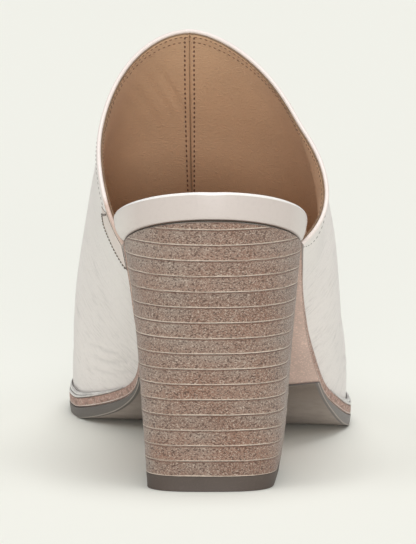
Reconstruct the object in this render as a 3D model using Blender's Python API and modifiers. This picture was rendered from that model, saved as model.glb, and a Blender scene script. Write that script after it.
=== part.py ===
"""A right mule shoe on a stacked block heel, open behind, modelled at its real size in metres.

The frame has +X on the lateral (outer) side, +Y towards the toe and +Z up. Its origin is the
middle of the heel's ground face. Inside the file every piece is worked out from the back of the
seat, where along is 0, and an empty carries the whole shoe to its origin.
"""
from collections import namedtuple

import bmesh
import bpy
import numpy as np

# The last, measured in plan from the back of the seat
LENGTH = 0.231
BALL_WIDTH = 0.0897
SEAT_HEIGHT = 0.0846
TOE_SPRING = 0.0066
SEAT_ROUND = 0.031
TOE_ROUND = 0.050
TOE_CAP_ROUND = 0.033
BALL_SKEW = 0.165

# The upper
WALL = 0.0020
THROAT_ALONG = 0.0802
WING_ALONG = 0.0320
THROAT_DEPTH = 0.0975

# The sole
GAP = 0.0003
OUTSOLE_THICK = 0.0034
OUTSOLE_ALONG = 0.0925
MIDSOLE_THICK = 0.0027
WELT_REACH = 0.0019
WELT_HEIGHT = 0.0023
WELT_LATERAL_ALONG = 0.106
WELT_MEDIAL_ALONG = 0.110
RAND_THICK = 0.0076
RAND_FLARE = 0.0028
RAND_TUCK = 0.0004
FOOTBED_THICK = 0.0040
FOOTBED_CUP = 0.0012
FOOTBED_TOE_SPARE = 0.0012
FOOTBED_CLEAR = 0.0005
FOOTBED_LEAN = 0.9
OUTSOLE_TAPER = 0.15
WELT_FADE = 0.0185
WELT_END_SHARE = 0.35
WELT_LEAST = 0.0004

# The heel
LIFT_PITCH = 0.00478
SEAT_LIFT_LEAST = 0.0025
HEEL_DEPTH = 0.0520
HEEL_CENTRE_ACROSS = 0.0008
BREAST_HOLLOW = 0.0015

# How finely the forms are drawn
BODY_ROWS = 30
BODY_COLUMNS = 17
SOLE_STATIONS = 46
SOLE_COLUMNS = 5
WELT_STATIONS = 30
HEEL_ROUND_POINTS = 19
HEEL_BREAST_POINTS = 5
SEAT_STATIONS = 36
SEAT_COLUMNS = 7
CUTTER_SPARE = 1.5
TOE_TIP_SHARE = 0.97

FORE_HEIGHT = OUTSOLE_THICK + MIDSOLE_THICK + GAP
HEEL_CENTRE_ALONG = HEEL_DEPTH / 2
LIFTS = int((SEAT_HEIGHT - SEAT_LIFT_LEAST) / LIFT_PITCH)

# The last's bottom. skew, axis and half give each rib in plan, as shares of the ball skew and
# the ball width. rise is a share of the climb to the seat and spring of the toe spring.
Bottom = namedtuple("Bottom", "along skew axis half rise spring")
BOTTOM = [
    Bottom(0.000, 0.00, 0.004, 0.318, 1.000, 0.00),
    Bottom(0.065, 0.00, 0.004, 0.314, 0.932, 0.00),
    Bottom(0.140, 0.00, 0.006, 0.312, 0.840, 0.00),
    Bottom(0.200, 0.10, 0.012, 0.308, 0.741, 0.00),
    Bottom(0.260, 0.30, 0.022, 0.300, 0.610, 0.00),
    Bottom(0.320, 0.60, 0.038, 0.298, 0.452, 0.00),
    Bottom(0.380, 0.85, 0.059, 0.309, 0.287, 0.00),
    Bottom(0.440, 1.00, 0.068, 0.338, 0.150, 0.00),
    Bottom(0.500, 1.00, 0.053, 0.399, 0.066, 0.00),
    Bottom(0.550, 1.00, 0.022, 0.462, 0.018, 0.00),
    Bottom(0.590, 1.00, 0.004, 0.490, 0.000, 0.00),
    Bottom(0.660, 1.00, -0.014, 0.499, 0.000, 0.00),
    Bottom(0.710, 0.90, -0.021, 0.480, 0.000, 0.04),
    Bottom(0.780, 0.62, -0.030, 0.424, 0.000, 0.17),
    Bottom(0.860, 0.25, -0.044, 0.350, 0.000, 0.44),
    Bottom(0.930, 0.06, -0.062, 0.290, 0.000, 0.72),
    Bottom(1.000, 0.00, -0.086, 0.250, 0.000, 1.00),
]
HEEL_HALF_WIDTH = BALL_WIDTH * BOTTOM[1].half

# The last's body above each rib. crown is a share of the throat depth and up of the crown's
# depth. The rest are shares of the ball width: shift carries the ridge sideways, out swells the
# wall over the feather line, and full carries the shoulder away from the ridge.
Body = namedtuple("Body", "along crown shift out_medial out_lateral up full_medial full_lateral")
BODY = [
    Body(0.130, 0.95, -0.050, 0.20, 0.37, 0.33, 0.22, 0.15),
    Body(0.200, 0.95, -0.055, 0.23, 0.285, 0.38, 0.25, 0.15),
    Body(0.270, 0.97, -0.065, 0.285, 0.255, 0.42, 0.25, 0.15),
    Body(0.346, 1.01, -0.073, 0.33, 0.28, 0.48, 0.26, 0.215),
    Body(0.420, 0.98, -0.073, 0.35, 0.20, 0.475, 0.33, 0.37),
    Body(0.500, 0.86, -0.071, 0.265, 0.09, 0.48, 0.38, 0.435),
    Body(0.570, 0.70, -0.068, 0.11, 0.04, 0.535, 0.38, 0.425),
    Body(0.640, 0.550, -0.066, 0.03, 0.02, 0.56, 0.34, 0.38),
    Body(0.720, 0.443, -0.064, 0.02, 0.02, 0.60, 0.31, 0.33),
    Body(0.810, 0.335, -0.066, 0.01, 0.01, 0.64, 0.27, 0.27),
    Body(0.900, 0.26, -0.072, 0.01, 0.01, 0.68, 0.22, 0.22),
    Body(1.000, 0.20, -0.086, 0.01, 0.01, 0.70, 0.18, 0.18),
]

# The topline, from the wing's end at the feather line (0) to the peak on the ridge (1).
# reach is a share of the way from the wing's end to the throat.
Topline = namedtuple("Topline", "along reach")
TOPLINE = [
    Topline(0.00, 0.000),
    Topline(0.10, 0.100),
    Topline(0.25, 0.335),
    Topline(0.40, 0.600),
    Topline(0.55, 0.790),
    Topline(0.70, 0.917),
    Topline(0.85, 0.983),
    Topline(1.00, 1.000),
]

# The sole's edges. reach is a share of the welt's reach past the feather line. The other two
# are shares of the midsole's and the outsole's full thickness.
Sole = namedtuple("Sole", "along reach midsole outsole")
SOLE = [
    Sole(0.00, -0.30, 0.22, 0.30),
    Sole(0.14, -0.30, 0.22, 0.30),
    Sole(0.22, -0.10, 0.45, 0.30),
    Sole(0.28, 0.15, 0.85, 0.30),
    Sole(0.36, 0.35, 1.00, 0.30),
    Sole(0.44, 0.60, 1.00, 0.35),
    Sole(0.50, 0.90, 1.00, 0.85),
    Sole(0.55, 1.00, 1.00, 1.00),
    Sole(0.60, 1.00, 1.00, 1.00),
    Sole(1.00, 1.00, 1.00, 1.00),
]

# The footbed. thick is the share of the way from its thin forepart to the thick rand, each flare
# a share of the rand's flare, inside tells how far the side follows the upper's inner face, and
# room is how many flares it may stand out beyond the open rand's side while it does so.
Footbed = namedtuple("Footbed", "along thick flare_medial flare_lateral inside room")
FOOTBED = [
    Footbed(0.000, 1.00, 0.10, 0.10, 0.0, 0.0),
    Footbed(0.040, 1.00, 0.35, 0.25, 0.0, 0.0),
    Footbed(0.080, 1.00, 0.75, 0.45, 0.0, 0.0),
    Footbed(0.118, 1.00, 1.00, 0.55, 0.0, 0.0),
    Footbed(0.137, 1.00, 1.00, 0.50, 1.0, 0.0),
    Footbed(0.160, 0.95, 0.80, 0.35, 1.0, 0.1),
    Footbed(0.200, 0.75, 0.40, 0.30, 1.0, 0.6),
    Footbed(0.260, 0.30, 0.00, 0.00, 1.0, 3.0),
    Footbed(0.320, 0.00, 0.00, 0.00, 1.0, 6.0),
    Footbed(0.380, 0.00, 0.00, 0.00, 1.0, 6.0),
    Footbed(1.000, 0.00, 0.00, 0.00, 1.0, 6.0),
]

# The rand's side from its lower edge to its top, as shares of its flare and its thickness
RAND_SIDE = [(-0.10, 0.00), (0.50, 0.20), (0.92, 0.45), (1.00, 0.72), (0.70, 0.94), (0.00, 1.00)]

# The welt's section, from its inner lower corner round, as shares of its reach and its height
WELT_SIDE = [(0.00, 0.00), (1.00, 0.00), (1.00, 0.45), (0.70, 1.00), (0.00, 1.00)]

# The heel at each level, a share of the seat height. half is a share of the half width. back,
# front and round are shares of the heel's depth, and turn swings the block towards the outside.
Heel = namedtuple("Heel", "along half across back front round power turn")
HEEL = [
    Heel(0.00, 0.690, 0.0004, 0.137, 0.865, 0.27, 3.00, 0.070),
    Heel(0.05, 0.710, 0.0006, 0.131, 0.867, 0.28, 2.90, 0.070),
    Heel(0.20, 0.755, 0.0010, 0.112, 0.875, 0.31, 2.80, 0.068),
    Heel(0.44, 0.812, 0.0010, 0.077, 0.912, 0.38, 2.55, 0.060),
    Heel(0.68, 0.888, 0.0010, 0.046, 0.980, 0.46, 2.30, 0.040),
    Heel(0.84, 0.955, 0.0006, 0.029, 1.060, 0.53, 2.10, 0.020),
    Heel(1.00, 1.000, 0.0004, 0.015, 1.170, 0.58, 2.00, 0.000),
]

# Colour, roughness and metallic value of each material
FINISHES = {
    "cream_leather": ((0.76, 0.71, 0.66), 0.45, 0.0),
    "rand_leather": ((0.74, 0.67, 0.61), 0.42, 0.0),
    "welt_leather": ((0.62, 0.57, 0.54), 0.40, 0.0),
    "tan_leather": ((0.53, 0.34, 0.27), 0.60, 0.0),
    "stacked_leather": ((0.30, 0.21, 0.16), 0.65, 0.0),
    "taupe_rubber": ((0.125, 0.105, 0.090), 0.70, 0.0),
}


def flow(table, column, at):
    """Akima's curve through one column of a table, which keeps level rows level."""
    x = np.array([row.along for row in table])
    y = np.array([getattr(row, column) for row in table])
    rate = np.diff(y) / np.diff(x)
    first = [3*rate[0] - 2*rate[1], 2*rate[0] - rate[1]]
    last = [2*rate[-1] - rate[-2], 3*rate[-1] - 2*rate[-2]]
    rate = np.concatenate((first, rate, last))
    change = np.abs(np.diff(rate))
    after, before = change[2:], change[:-2]
    total = np.maximum(after + before, 1e-9)
    weighed = (after*rate[1:-2] + before*rate[2:-1]) / total
    slope = np.where(after + before > 1e-9, weighed, (rate[1:-2] + rate[2:-1]) / 2)
    at = np.clip(np.asarray(at, float), x[0], x[-1])
    i = np.clip(np.searchsorted(x, at, side="right") - 1, 0, len(x) - 2)
    step = x[i + 1] - x[i]
    u = (at - x[i]) / step
    return ((2*u**3 - 3*u**2 + 1)*y[i] + (u**3 - 2*u**2 + u)*step*slope[i]
            + (3*u**2 - 2*u**3)*y[i + 1] + (u**3 - u**2)*step*slope[i + 1])


def closing(distance, reach, power):
    """How far a rounded end has opened at a distance from its tip, from 0 to 1."""
    u = np.clip(1 - distance / reach, 0, 1)
    return (1 - u**power) ** (1 / power)


def skew(along):
    return BALL_SKEW * flow(BOTTOM, "skew", along / LENGTH)


def toe_round(along):
    return closing(LENGTH - along, TOE_ROUND, 2.2)


def half_width(along):
    ends = closing(along, SEAT_ROUND, 2.0) * toe_round(along)
    return BALL_WIDTH * flow(BOTTOM, "half", along / LENGTH) * ends


def feather_x(along, side):
    """The feather line's distance across, on side +1 (lateral) or -1 (medial)."""
    return BALL_WIDTH * flow(BOTTOM, "axis", along / LENGTH) + side*half_width(along)


def bed(along):
    """Height of the line on which the upper, the footbed and the welt sit."""
    rise = np.maximum(flow(BOTTOM, "rise", along / LENGTH), 0)
    spring = flow(BOTTOM, "spring", along / LENGTH)
    return FORE_HEIGHT + (SEAT_HEIGHT - FORE_HEIGHT)*rise + TOE_SPRING*spring


def stretch(along):
    """How much longer a thickness square to the bed is when it is measured upright."""
    step = 0.0005
    slope = (bed(along + step) - bed(along - step)) / (2*step)
    return np.sqrt(1 + slope**2)


def station(x, y):
    """The rib that passes through a place in plan."""
    along = y + skew(y)*x
    for _ in range(4):
        along = y + skew(along)*x
    return along


def level(x, y, rise):
    """Height over a place in plan, rise being measured square to the bed."""
    along = station(x, y)
    return bed(along) + rise*stretch(along)


def section(along, side, t):
    """A point of the upper's outer face, with t from the feather line (0) to the ridge (1)."""
    share = along / LENGTH
    name = "lateral" if side > 0 else "medial"
    foot_x = feather_x(along, side)
    foot_z = bed(along) + GAP*stretch(along)
    ends = toe_round(along)
    depth = THROAT_DEPTH * flow(BODY, "crown", share) * closing(LENGTH - along, TOE_CAP_ROUND, 2.6)
    crown_x = BALL_WIDTH * flow(BODY, "shift", share)
    wall_x = foot_x + side*BALL_WIDTH*flow(BODY, "out_" + name, share)*ends
    shoulder_x = crown_x + side*BALL_WIDTH*flow(BODY, "full_" + name, share)*ends
    up = flow(BODY, "up", share)
    u = 1 - t
    x = u**3*foot_x + 3*u**2*t*wall_x + 3*u*t**2*shoulder_x + t**3*crown_x
    z = foot_z + depth*(3*u**2*t*up + 3*u*t**2 + t**3)
    return np.stack(np.broadcast_arrays(x, along - skew(along)*x, z), -1)


def wall_lean(along, side, height):
    """How far the upper's outer face stands out from the feather line at a height over it."""
    t = np.linspace(0, 0.5, 40)
    points = section(np.full_like(t, along), side, t)
    return np.interp(height, points[:, 2] - points[0, 2], points[:, 0] - points[0, 0]) * side


def rail(along, side):
    """A point of the feather line in plan, and the direction that points out of the shoe."""
    step = LENGTH * 1e-4
    ends = []
    for place in (along - step, along + step):
        place = min(max(place, 0.0), LENGTH)
        x = float(feather_x(place, side))
        ends.append(np.array([x, place - float(skew(place))*x]))
    x = float(feather_x(along, side))
    point = np.array([x, along - float(skew(along))*x])
    run = ends[1] - ends[0]
    out = np.array([run[1], -run[0]]) * side
    if along <= 0:
        out = np.array([0.0, -1.0])
    if along >= LENGTH:
        out = np.array([0.0, 1.0])
    return point, out / np.linalg.norm(out)


def spread(start, end, count, round_start, round_end):
    """Stations that crowd towards the rounded ends."""
    share = np.linspace(0, 1, count)
    if round_start and round_end:
        share = (1 - np.cos(np.pi*share)) / 2
    elif round_end:
        share = np.sin(np.pi/2*share)
    return start + (end - start)*share


def sole_reach(along):
    return WELT_REACH * float(flow(SOLE, "reach", along / LENGTH))


def midsole_thick(along):
    return MIDSOLE_THICK * flow(SOLE, "midsole", along / LENGTH)


def outsole_thick(along):
    return OUTSOLE_THICK * flow(SOLE, "outsole", along / LENGTH)


def make_material(name):
    colour, roughness, metallic = FINISHES[name]
    material = bpy.data.materials.new(name)
    material.use_nodes = True
    material.diffuse_color = (*colour, 1.0)
    shader = material.node_tree.nodes["Principled BSDF"]
    shader.inputs["Base Color"].default_value = (*colour, 1.0)
    shader.inputs["Roughness"].default_value = roughness
    shader.inputs["Metallic"].default_value = metallic
    return material


def make_object(name, points, faces, shoe, finish):
    """One mesh object under the shoe's empty. Points that coincide at a tip are joined."""
    mesh = bpy.data.meshes.new(name)
    mesh.from_pydata([tuple(map(float, point)) for point in points], [], faces)
    build = bmesh.new()
    build.from_mesh(mesh)
    bmesh.ops.remove_doubles(build, verts=build.verts, dist=1e-6)
    bmesh.ops.recalc_face_normals(build, faces=build.faces)
    build.to_mesh(mesh)
    build.free()
    mesh.shade_smooth()
    mesh.set_sharp_from_angle(angle=np.radians(35))
    thing = bpy.data.objects.new(name, mesh)
    thing.parent = shoe.empty
    thing.data.materials.append(finish)
    shoe.collection.objects.link(thing)
    return thing


def strip(rings, closed_ring, capped_start, capped_end):
    """Faces of a loft through rings of equal count, laid out one ring after another."""
    count = len(rings[0])
    points = [point for ring in rings for point in ring]
    faces = []
    for i in range(len(rings) - 1):
        for j in range(count if closed_ring else count - 1):
            k = (j + 1) % count
            faces.append((i*count + j, i*count + k, (i + 1)*count + k, (i + 1)*count + j))
    if capped_start:
        faces.append(tuple(range(count)))
    if capped_end:
        last = (len(rings) - 1)*count
        faces.append(tuple(range(last + count - 1, last - 1, -1)))
    return points, faces


def slab_ring(edges, lower, upper):
    """The ring round one rib, from its two edges and the heights of its lower and upper faces."""
    medial, lateral = edges
    ring = []
    for share in np.linspace(0, 1, SOLE_COLUMNS + 1):
        x, y, z = medial[0] + (lateral[0] - medial[0])*share
        ring.append((x, y, z if share in (0, 1) else lower(x, y)))
    ring += [tuple(point) for point in lateral[1:-1]]
    for share in np.linspace(1, 0, SOLE_COLUMNS + 1):
        x, y, z = medial[-1] + (lateral[-1] - medial[-1])*share
        ring.append((x, y, z if share in (0, 1) else upper(x, y, 2*share - 1)))
    ring += [tuple(point) for point in medial[-2:0:-1]]
    return ring


def make_slab(name, stations, edge, lower, upper, shoe, finish, capped):
    rings = [slab_ring((edge(a, -1), edge(a, 1)), lower, upper) for a in stations]
    points, faces = strip(rings, True, capped, False)
    return make_object(name, points, faces, shoe, finish)


def make_upper(shoe, finish):
    """One hollow wall, open at the collar and underneath, from a skin with its topline."""
    around = np.concatenate((np.linspace(0, 1, BODY_COLUMNS), np.linspace(1, 0, BODY_COLUMNS)[1:]))
    sides = [1]*BODY_COLUMNS + [-1]*(BODY_COLUMNS - 1)
    lines = []
    for t, side in zip(around, sides):
        reach = float(flow(TOPLINE, "reach", t))
        start = WING_ALONG + (THROAT_ALONG - WING_ALONG)*reach
        along = spread(start, LENGTH, BODY_ROWS, False, True)
        lines.append(section(along, side, t))
    rows = np.swapaxes(np.array(lines), 0, 1)
    points, faces = strip([list(row) for row in rows], False, False, False)
    upper = make_object("upper", points, faces, shoe, finish)
    wall = upper.modifiers.new("wall", "SOLIDIFY")
    wall.thickness = WALL
    wall.offset = -1.0
    return upper


def make_footbed(shoe, finish):
    """The board and its wrapped rand, thick behind and thin under the foot inside the upper."""
    def thick(along):
        share = float(flow(FOOTBED, "thick", along / LENGTH))
        return FOOTBED_THICK + (RAND_THICK - FOOTBED_THICK)*share

    def edge(along, side):
        if along >= LENGTH:
            side = 1
        point, out = rail(along, side)
        name = "lateral" if side > 0 else "medial"
        flare = RAND_FLARE * float(flow(FOOTBED, "flare_" + name, along / LENGTH))
        inside = float(flow(FOOTBED, "inside", along / LENGTH))
        room = RAND_FLARE * float(flow(FOOTBED, "room", along / LENGTH))
        spare = FOOTBED_TOE_SPARE * max(0.0, 1 - (LENGTH - along)/TOE_CAP_ROUND)
        rows = []
        for swell, up in RAND_SIDE:
            height = GAP + up*thick(along)
            open_reach = flare*swell - RAND_TUCK
            place = min(max(along, WING_ALONG), LENGTH*TOE_TIP_SHARE)
            lean = wall_lean(place, side, up*thick(along))
            shut_reach = lean*FOOTBED_LEAN - WALL - FOOTBED_CLEAR - GAP - spare
            shut_reach = min(shut_reach, open_reach + room)
            reach = open_reach + (shut_reach - open_reach)*inside
            x, y = point + out*reach
            rows.append(np.array([x, y, float(level(x, y, height))]))
        return rows

    def lower(x, y):
        return float(level(x, y, GAP))

    def upper(x, y, across):
        along = float(station(x, y))
        cup = FOOTBED_CUP * (1 - across**2)
        return float(level(x, y, GAP + thick(along) - cup))

    stations = spread(0.0, LENGTH, SOLE_STATIONS, True, True)
    return make_slab("footbed", stations, edge, lower, upper, shoe, finish, False)


def make_midsole(shoe, finish):
    def edge(along, side):
        point, out = rail(along, side)
        x, y = point + out*sole_reach(along)
        thick = float(midsole_thick(station(x, y)))
        return [np.array([x, y, float(level(x, y, -thick*share))]) for share in (1, 0)]

    def lower(x, y):
        return float(level(x, y, -float(midsole_thick(station(x, y)))))

    def upper(x, y, across):
        return float(level(x, y, 0))

    stations = spread(0.0, LENGTH, SOLE_STATIONS, True, True)
    return make_slab("midsole", stations, edge, lower, upper, shoe, finish, False)


def make_outsole(shoe, finish):
    """The rubber forepart, cut straight across the waist along a rib."""
    def depth(x, y, share):
        along = station(x, y)
        return float(-midsole_thick(along) - GAP - outsole_thick(along)*share)

    def edge(along, side):
        point, out = rail(along, side)
        rows = []
        for share in (1, 0):
            x, y = point + out*sole_reach(along)*(1 - OUTSOLE_TAPER*share)
            rows.append(np.array([x, y, float(level(x, y, depth(x, y, share)))]))
        return rows

    def lower(x, y):
        return float(level(x, y, depth(x, y, 1)))

    def upper(x, y, across):
        return float(level(x, y, depth(x, y, 0)))

    stations = spread(OUTSOLE_ALONG, LENGTH, SOLE_STATIONS*2//3, False, True)
    return make_slab("outsole", stations, edge, lower, upper, shoe, finish, True)


def make_welt(shoe, finish):
    """A strip round the forepart, outside the upper's foot, fading out at the waist."""
    outer = [(a, 1) for a in spread(WELT_LATERAL_ALONG, LENGTH, WELT_STATIONS, False, True)]
    inner = [(a, -1) for a in spread(WELT_MEDIAL_ALONG, LENGTH, WELT_STATIONS, False, True)]
    path = outer + inner[-2::-1]
    rings = []
    for along, side in path:
        first = WELT_LATERAL_ALONG if side > 0 else WELT_MEDIAL_ALONG
        fade = min(1.0, (along - first)/WELT_FADE)
        height = WELT_HEIGHT * (WELT_END_SHARE + (1 - WELT_END_SHARE)*fade)
        point, out = rail(along, side)
        reach = sole_reach(along)
        lean = wall_lean(min(along, LENGTH*TOE_TIP_SHARE), side, height)
        ring = []
        for share, up in WELT_SIDE:
            start = GAP + max(lean, 0)*up
            x, y = point + out*(start + max(reach - start, WELT_LEAST)*share)
            ring.append((x, y, float(level(x, y, GAP + height*up))))
        rings.append(ring)
    points, faces = strip(rings, True, True, True)
    return make_object("welt", points, faces, shoe, finish)


def heel_outline(height):
    """The heel's outline at a height: a rounded back, straight sides and a hollow breast."""
    at = height / SEAT_HEIGHT
    half = HEEL_HALF_WIDTH * float(flow(HEEL, "half", at))
    back = HEEL_DEPTH * float(flow(HEEL, "back", at))
    front = HEEL_DEPTH * float(flow(HEEL, "front", at))
    rounding = HEEL_DEPTH * float(flow(HEEL, "round", at))
    power = float(flow(HEEL, "power", at))
    turn = float(flow(HEEL, "turn", at))
    centre = float(flow(HEEL, "across", at))
    outline = []
    for angle in np.linspace(0, np.pi, HEEL_ROUND_POINTS):
        x = np.sign(np.cos(angle)) * abs(np.cos(angle))**(2/power)
        y = 1 - abs(np.sin(angle))**(2/power)
        outline.append((half*x, back + rounding*y))
    for share in np.linspace(-1, 1, HEEL_BREAST_POINTS):
        outline.append((half*share, front - BREAST_HOLLOW*(1 - share**2)))
    return [(centre + x + turn*(y - HEEL_CENTRE_ALONG), y, height) for x, y in outline]


def make_heel(shoe, leather, rubber):
    """A rubber top lift and the stacked leather lifts, the highest ones cut by the seat."""
    cutter = make_seat_cutter(shoe, leather)
    breast = HEEL_DEPTH * HEEL[-1].front
    lowest_seat = float(bed(breast)) - MIDSOLE_THICK*2
    for number in range(LIFTS + 1):
        low = number*LIFT_PITCH + (GAP if number else 0)
        high = (number + 1)*LIFT_PITCH
        name = "heel_lift_%02d" % number if number else "top_lift"
        rings = [heel_outline(low), heel_outline(high)]
        points, faces = strip(rings, True, True, True)
        lift = make_object(name, points, faces, shoe, leather if number else rubber)
        if high > lowest_seat:
            cut = lift.modifiers.new("seat", "BOOLEAN")
            cut.operation = "DIFFERENCE"
            cut.solver = "EXACT"
            cut.object = cutter


def make_seat_cutter(shoe, finish):
    """What lies over the heel's seat: the space from just under the midsole upwards."""
    wide = HEEL_HALF_WIDTH * CUTTER_SPARE
    columns = np.linspace(-wide, wide, SEAT_COLUMNS)
    rings = []
    for y in np.linspace(-HEEL_DEPTH*(CUTTER_SPARE - 1), HEEL_DEPTH*CUTTER_SPARE, SEAT_STATIONS):
        along = max(y, 0.0)
        depth = float(midsole_thick(along)) + GAP
        ring = [(x, y, float(level(x, along, -depth))) for x in columns]
        ring += [(x, y, SEAT_HEIGHT*CUTTER_SPARE) for x in columns[::-1]]
        rings.append(ring)
    points, faces = strip(rings, True, True, True)
    cutter = make_object("seat_cutter", points, faces, shoe, finish)
    shoe.collection.objects.unlink(cutter)
    shoe.cutters.objects.link(cutter)
    cutter.hide_render = True
    cutter.display_type = "WIRE"
    return cutter


def make_shoe():
    for thing in list(bpy.data.objects):
        bpy.data.objects.remove(thing, do_unlink=True)
    Shoe = namedtuple("Shoe", "empty collection cutters")
    collection = bpy.data.collections.new("mule_shoe")
    cutters = bpy.data.collections.new("cutters")
    bpy.context.scene.collection.children.link(collection)
    bpy.context.scene.collection.children.link(cutters)
    empty = bpy.data.objects.new("heel_ground_centre", None)
    empty.location = (-HEEL_CENTRE_ACROSS, -HEEL_CENTRE_ALONG, 0)
    collection.objects.link(empty)
    shoe = Shoe(empty, collection, cutters)
    make_upper(shoe, make_material("cream_leather"))
    make_footbed(shoe, make_material("rand_leather"))
    make_welt(shoe, make_material("welt_leather"))
    make_midsole(shoe, make_material("tan_leather"))
    rubber = make_material("taupe_rubber")
    make_outsole(shoe, rubber)
    make_heel(shoe, make_material("stacked_leather"), rubber)


make_shoe()
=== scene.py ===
"""Dresses the right mule shoe: leather, lining, stitching, sole edges, heel stack, stage and light.

Everything is worked out from the back of the seat, where along is 0, with +Y towards the toe, and
is then moved to the frame's origin, the middle of the heel's ground face.
"""

import math
from collections import namedtuple

import bmesh
import bpy
import numpy as np
from bpy.props import FloatProperty, FloatVectorProperty, IntProperty, PointerProperty
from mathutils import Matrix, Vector


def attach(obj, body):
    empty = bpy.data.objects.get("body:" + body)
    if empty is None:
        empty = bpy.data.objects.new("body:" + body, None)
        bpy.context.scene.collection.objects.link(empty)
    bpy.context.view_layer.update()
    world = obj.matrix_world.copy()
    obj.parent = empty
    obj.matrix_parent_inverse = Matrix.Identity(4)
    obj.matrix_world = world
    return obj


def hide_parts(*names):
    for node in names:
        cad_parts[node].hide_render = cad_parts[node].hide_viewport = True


bl_info = {
    "name": "Mule shoe",
    "version": (1, 0, 0),
    "blender": (4, 5, 0),
    "location": "View3D > Sidebar > Shoe",
    "description": "Builds the looks of a right mule shoe on a stacked block heel",
    "category": "Object",
}

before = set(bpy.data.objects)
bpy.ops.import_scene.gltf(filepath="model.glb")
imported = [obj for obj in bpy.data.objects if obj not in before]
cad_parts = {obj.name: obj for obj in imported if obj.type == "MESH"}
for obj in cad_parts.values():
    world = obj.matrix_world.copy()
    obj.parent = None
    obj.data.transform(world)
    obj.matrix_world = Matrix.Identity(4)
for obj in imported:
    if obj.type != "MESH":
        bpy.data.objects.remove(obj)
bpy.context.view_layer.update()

# The last and the pieces on it, in metres
LENGTH = 0.231
BALL_WIDTH = 0.0897
SEAT_HEIGHT = 0.0846
TOE_SPRING = 0.0066
SEAT_ROUND = 0.031
TOE_ROUND = 0.050
TOE_CAP_ROUND = 0.033
BALL_SKEW = 0.165
WALL = 0.0020
THROAT_ALONG = 0.0802
WING_ALONG = 0.0320
THROAT_DEPTH = 0.0975
GAP = 0.0003
OUTSOLE_THICK = 0.0034
OUTSOLE_ALONG = 0.0925
MIDSOLE_THICK = 0.0027
WELT_REACH = 0.0019
WELT_HEIGHT = 0.0023
WELT_LATERAL_ALONG = 0.106
WELT_MEDIAL_ALONG = 0.110
RAND_THICK = 0.0076
RAND_FLARE = 0.0028
RAND_TUCK = 0.0004
FOOTBED_THICK = 0.0040
FOOTBED_CUP = 0.0012
FOOTBED_TOE_SPARE = 0.0012
FOOTBED_CLEAR = 0.0005
FOOTBED_LEAN = 0.9
OUTSOLE_TAPER = 0.15
WELT_FADE = 0.030
WELT_END_SHARE = 0.12
WELT_LEAST = 0.0004
LIFT_PITCH = 0.00478
SEAT_LIFT_LEAST = 0.0025
HEEL_DEPTH = 0.0520
HEEL_CENTRE_ACROSS = 0.0008
BREAST_HOLLOW = 0.0015

# How far along the last the wall's lean is still read, as a share of its length
TOE_TIP_SHARE = 0.97

# How far the outsole's back edge is hollowed in its middle
OUTSOLE_HOLLOW = 0.0035

# What the scene's material names end in, so that none meets a name of the frame
LOOK = "_look"

# The lining: its air to the leather and its centre seam, a groove between two raised edges
LINING_GAP = 0.00008
SEAM_GROOVE_DEPTH = 0.00050
SEAM_GROOVE_WIDTH = 0.00030
SEAM_EDGE_HEIGHT = 0.00042
SEAM_EDGE_OFF = 0.00085
SEAM_EDGE_WIDTH = 0.00050

# Creases waver by this much, at this rate in radians a metre, and are marked with 1 for the painted
# shade in them where they are this deep
CREASE_WAVER = 0.0003
CREASE_WAVER_RATE = 620
CREASE_FULL_DEPTH = 0.0003

# The camera stands behind the shoe, a little above the heel
CAMERA_DISTANCE = 1.5
CAMERA_ELEVATION = 8
CAMERA_SENSOR = 36
CAMERA_LENS = 313.9
CAMERA_TARGET = (-0.0017, 0.044, 0.0589)

# The studio: half the floor's width, and the strength of the light from all round
FLOOR_HALF_WIDTH = 6.0
STUDIO_GLOW = 0.27

# Sun lamps: the way that each one lies in, its strength and its softness in degrees
Lamp = namedtuple("Lamp", "name toward strength softness")
LAMPS = [
    Lamp("front_light", (0.03, -1.0, 0.06), 1.75, 24),
    Lamp("left_light", (-1.0, -0.50, 1.10), 0.52, 40),
    Lamp("right_light", (1.0, -0.50, 1.10), 0.42, 40),
    Lamp("top_light", (0.05, -0.05, 1.0), 1.66, 36),
]

FORE_HEIGHT = OUTSOLE_THICK + MIDSOLE_THICK + GAP
HEEL_CENTRE_ALONG = HEEL_DEPTH / 2
LIFTS = int((SEAT_HEIGHT - SEAT_LIFT_LEAST) / LIFT_PITCH)
ORIGIN = np.array([HEEL_CENTRE_ACROSS, HEEL_CENTRE_ALONG, 0.0])

# The last's bottom: ribs in plan, the climb to the seat and the toe spring
Bottom = namedtuple("Bottom", "along skew axis half rise spring")
BOTTOM = [
    Bottom(0.000, 0.00, 0.004, 0.318, 1.000, 0.00),
    Bottom(0.065, 0.00, 0.004, 0.314, 0.932, 0.00),
    Bottom(0.140, 0.00, 0.006, 0.312, 0.840, 0.00),
    Bottom(0.200, 0.10, 0.012, 0.308, 0.741, 0.00),
    Bottom(0.260, 0.30, 0.022, 0.300, 0.610, 0.00),
    Bottom(0.320, 0.60, 0.038, 0.298, 0.452, 0.00),
    Bottom(0.380, 0.85, 0.059, 0.309, 0.287, 0.00),
    Bottom(0.440, 1.00, 0.068, 0.338, 0.150, 0.00),
    Bottom(0.500, 1.00, 0.053, 0.399, 0.066, 0.00),
    Bottom(0.550, 1.00, 0.022, 0.462, 0.018, 0.00),
    Bottom(0.590, 1.00, 0.004, 0.490, 0.000, 0.00),
    Bottom(0.660, 1.00, -0.014, 0.499, 0.000, 0.00),
    Bottom(0.710, 0.90, -0.021, 0.480, 0.000, 0.04),
    Bottom(0.780, 0.62, -0.030, 0.424, 0.000, 0.17),
    Bottom(0.860, 0.25, -0.044, 0.350, 0.000, 0.44),
    Bottom(0.930, 0.06, -0.062, 0.290, 0.000, 0.72),
    Bottom(1.000, 0.00, -0.086, 0.250, 0.000, 1.00),
]
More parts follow.
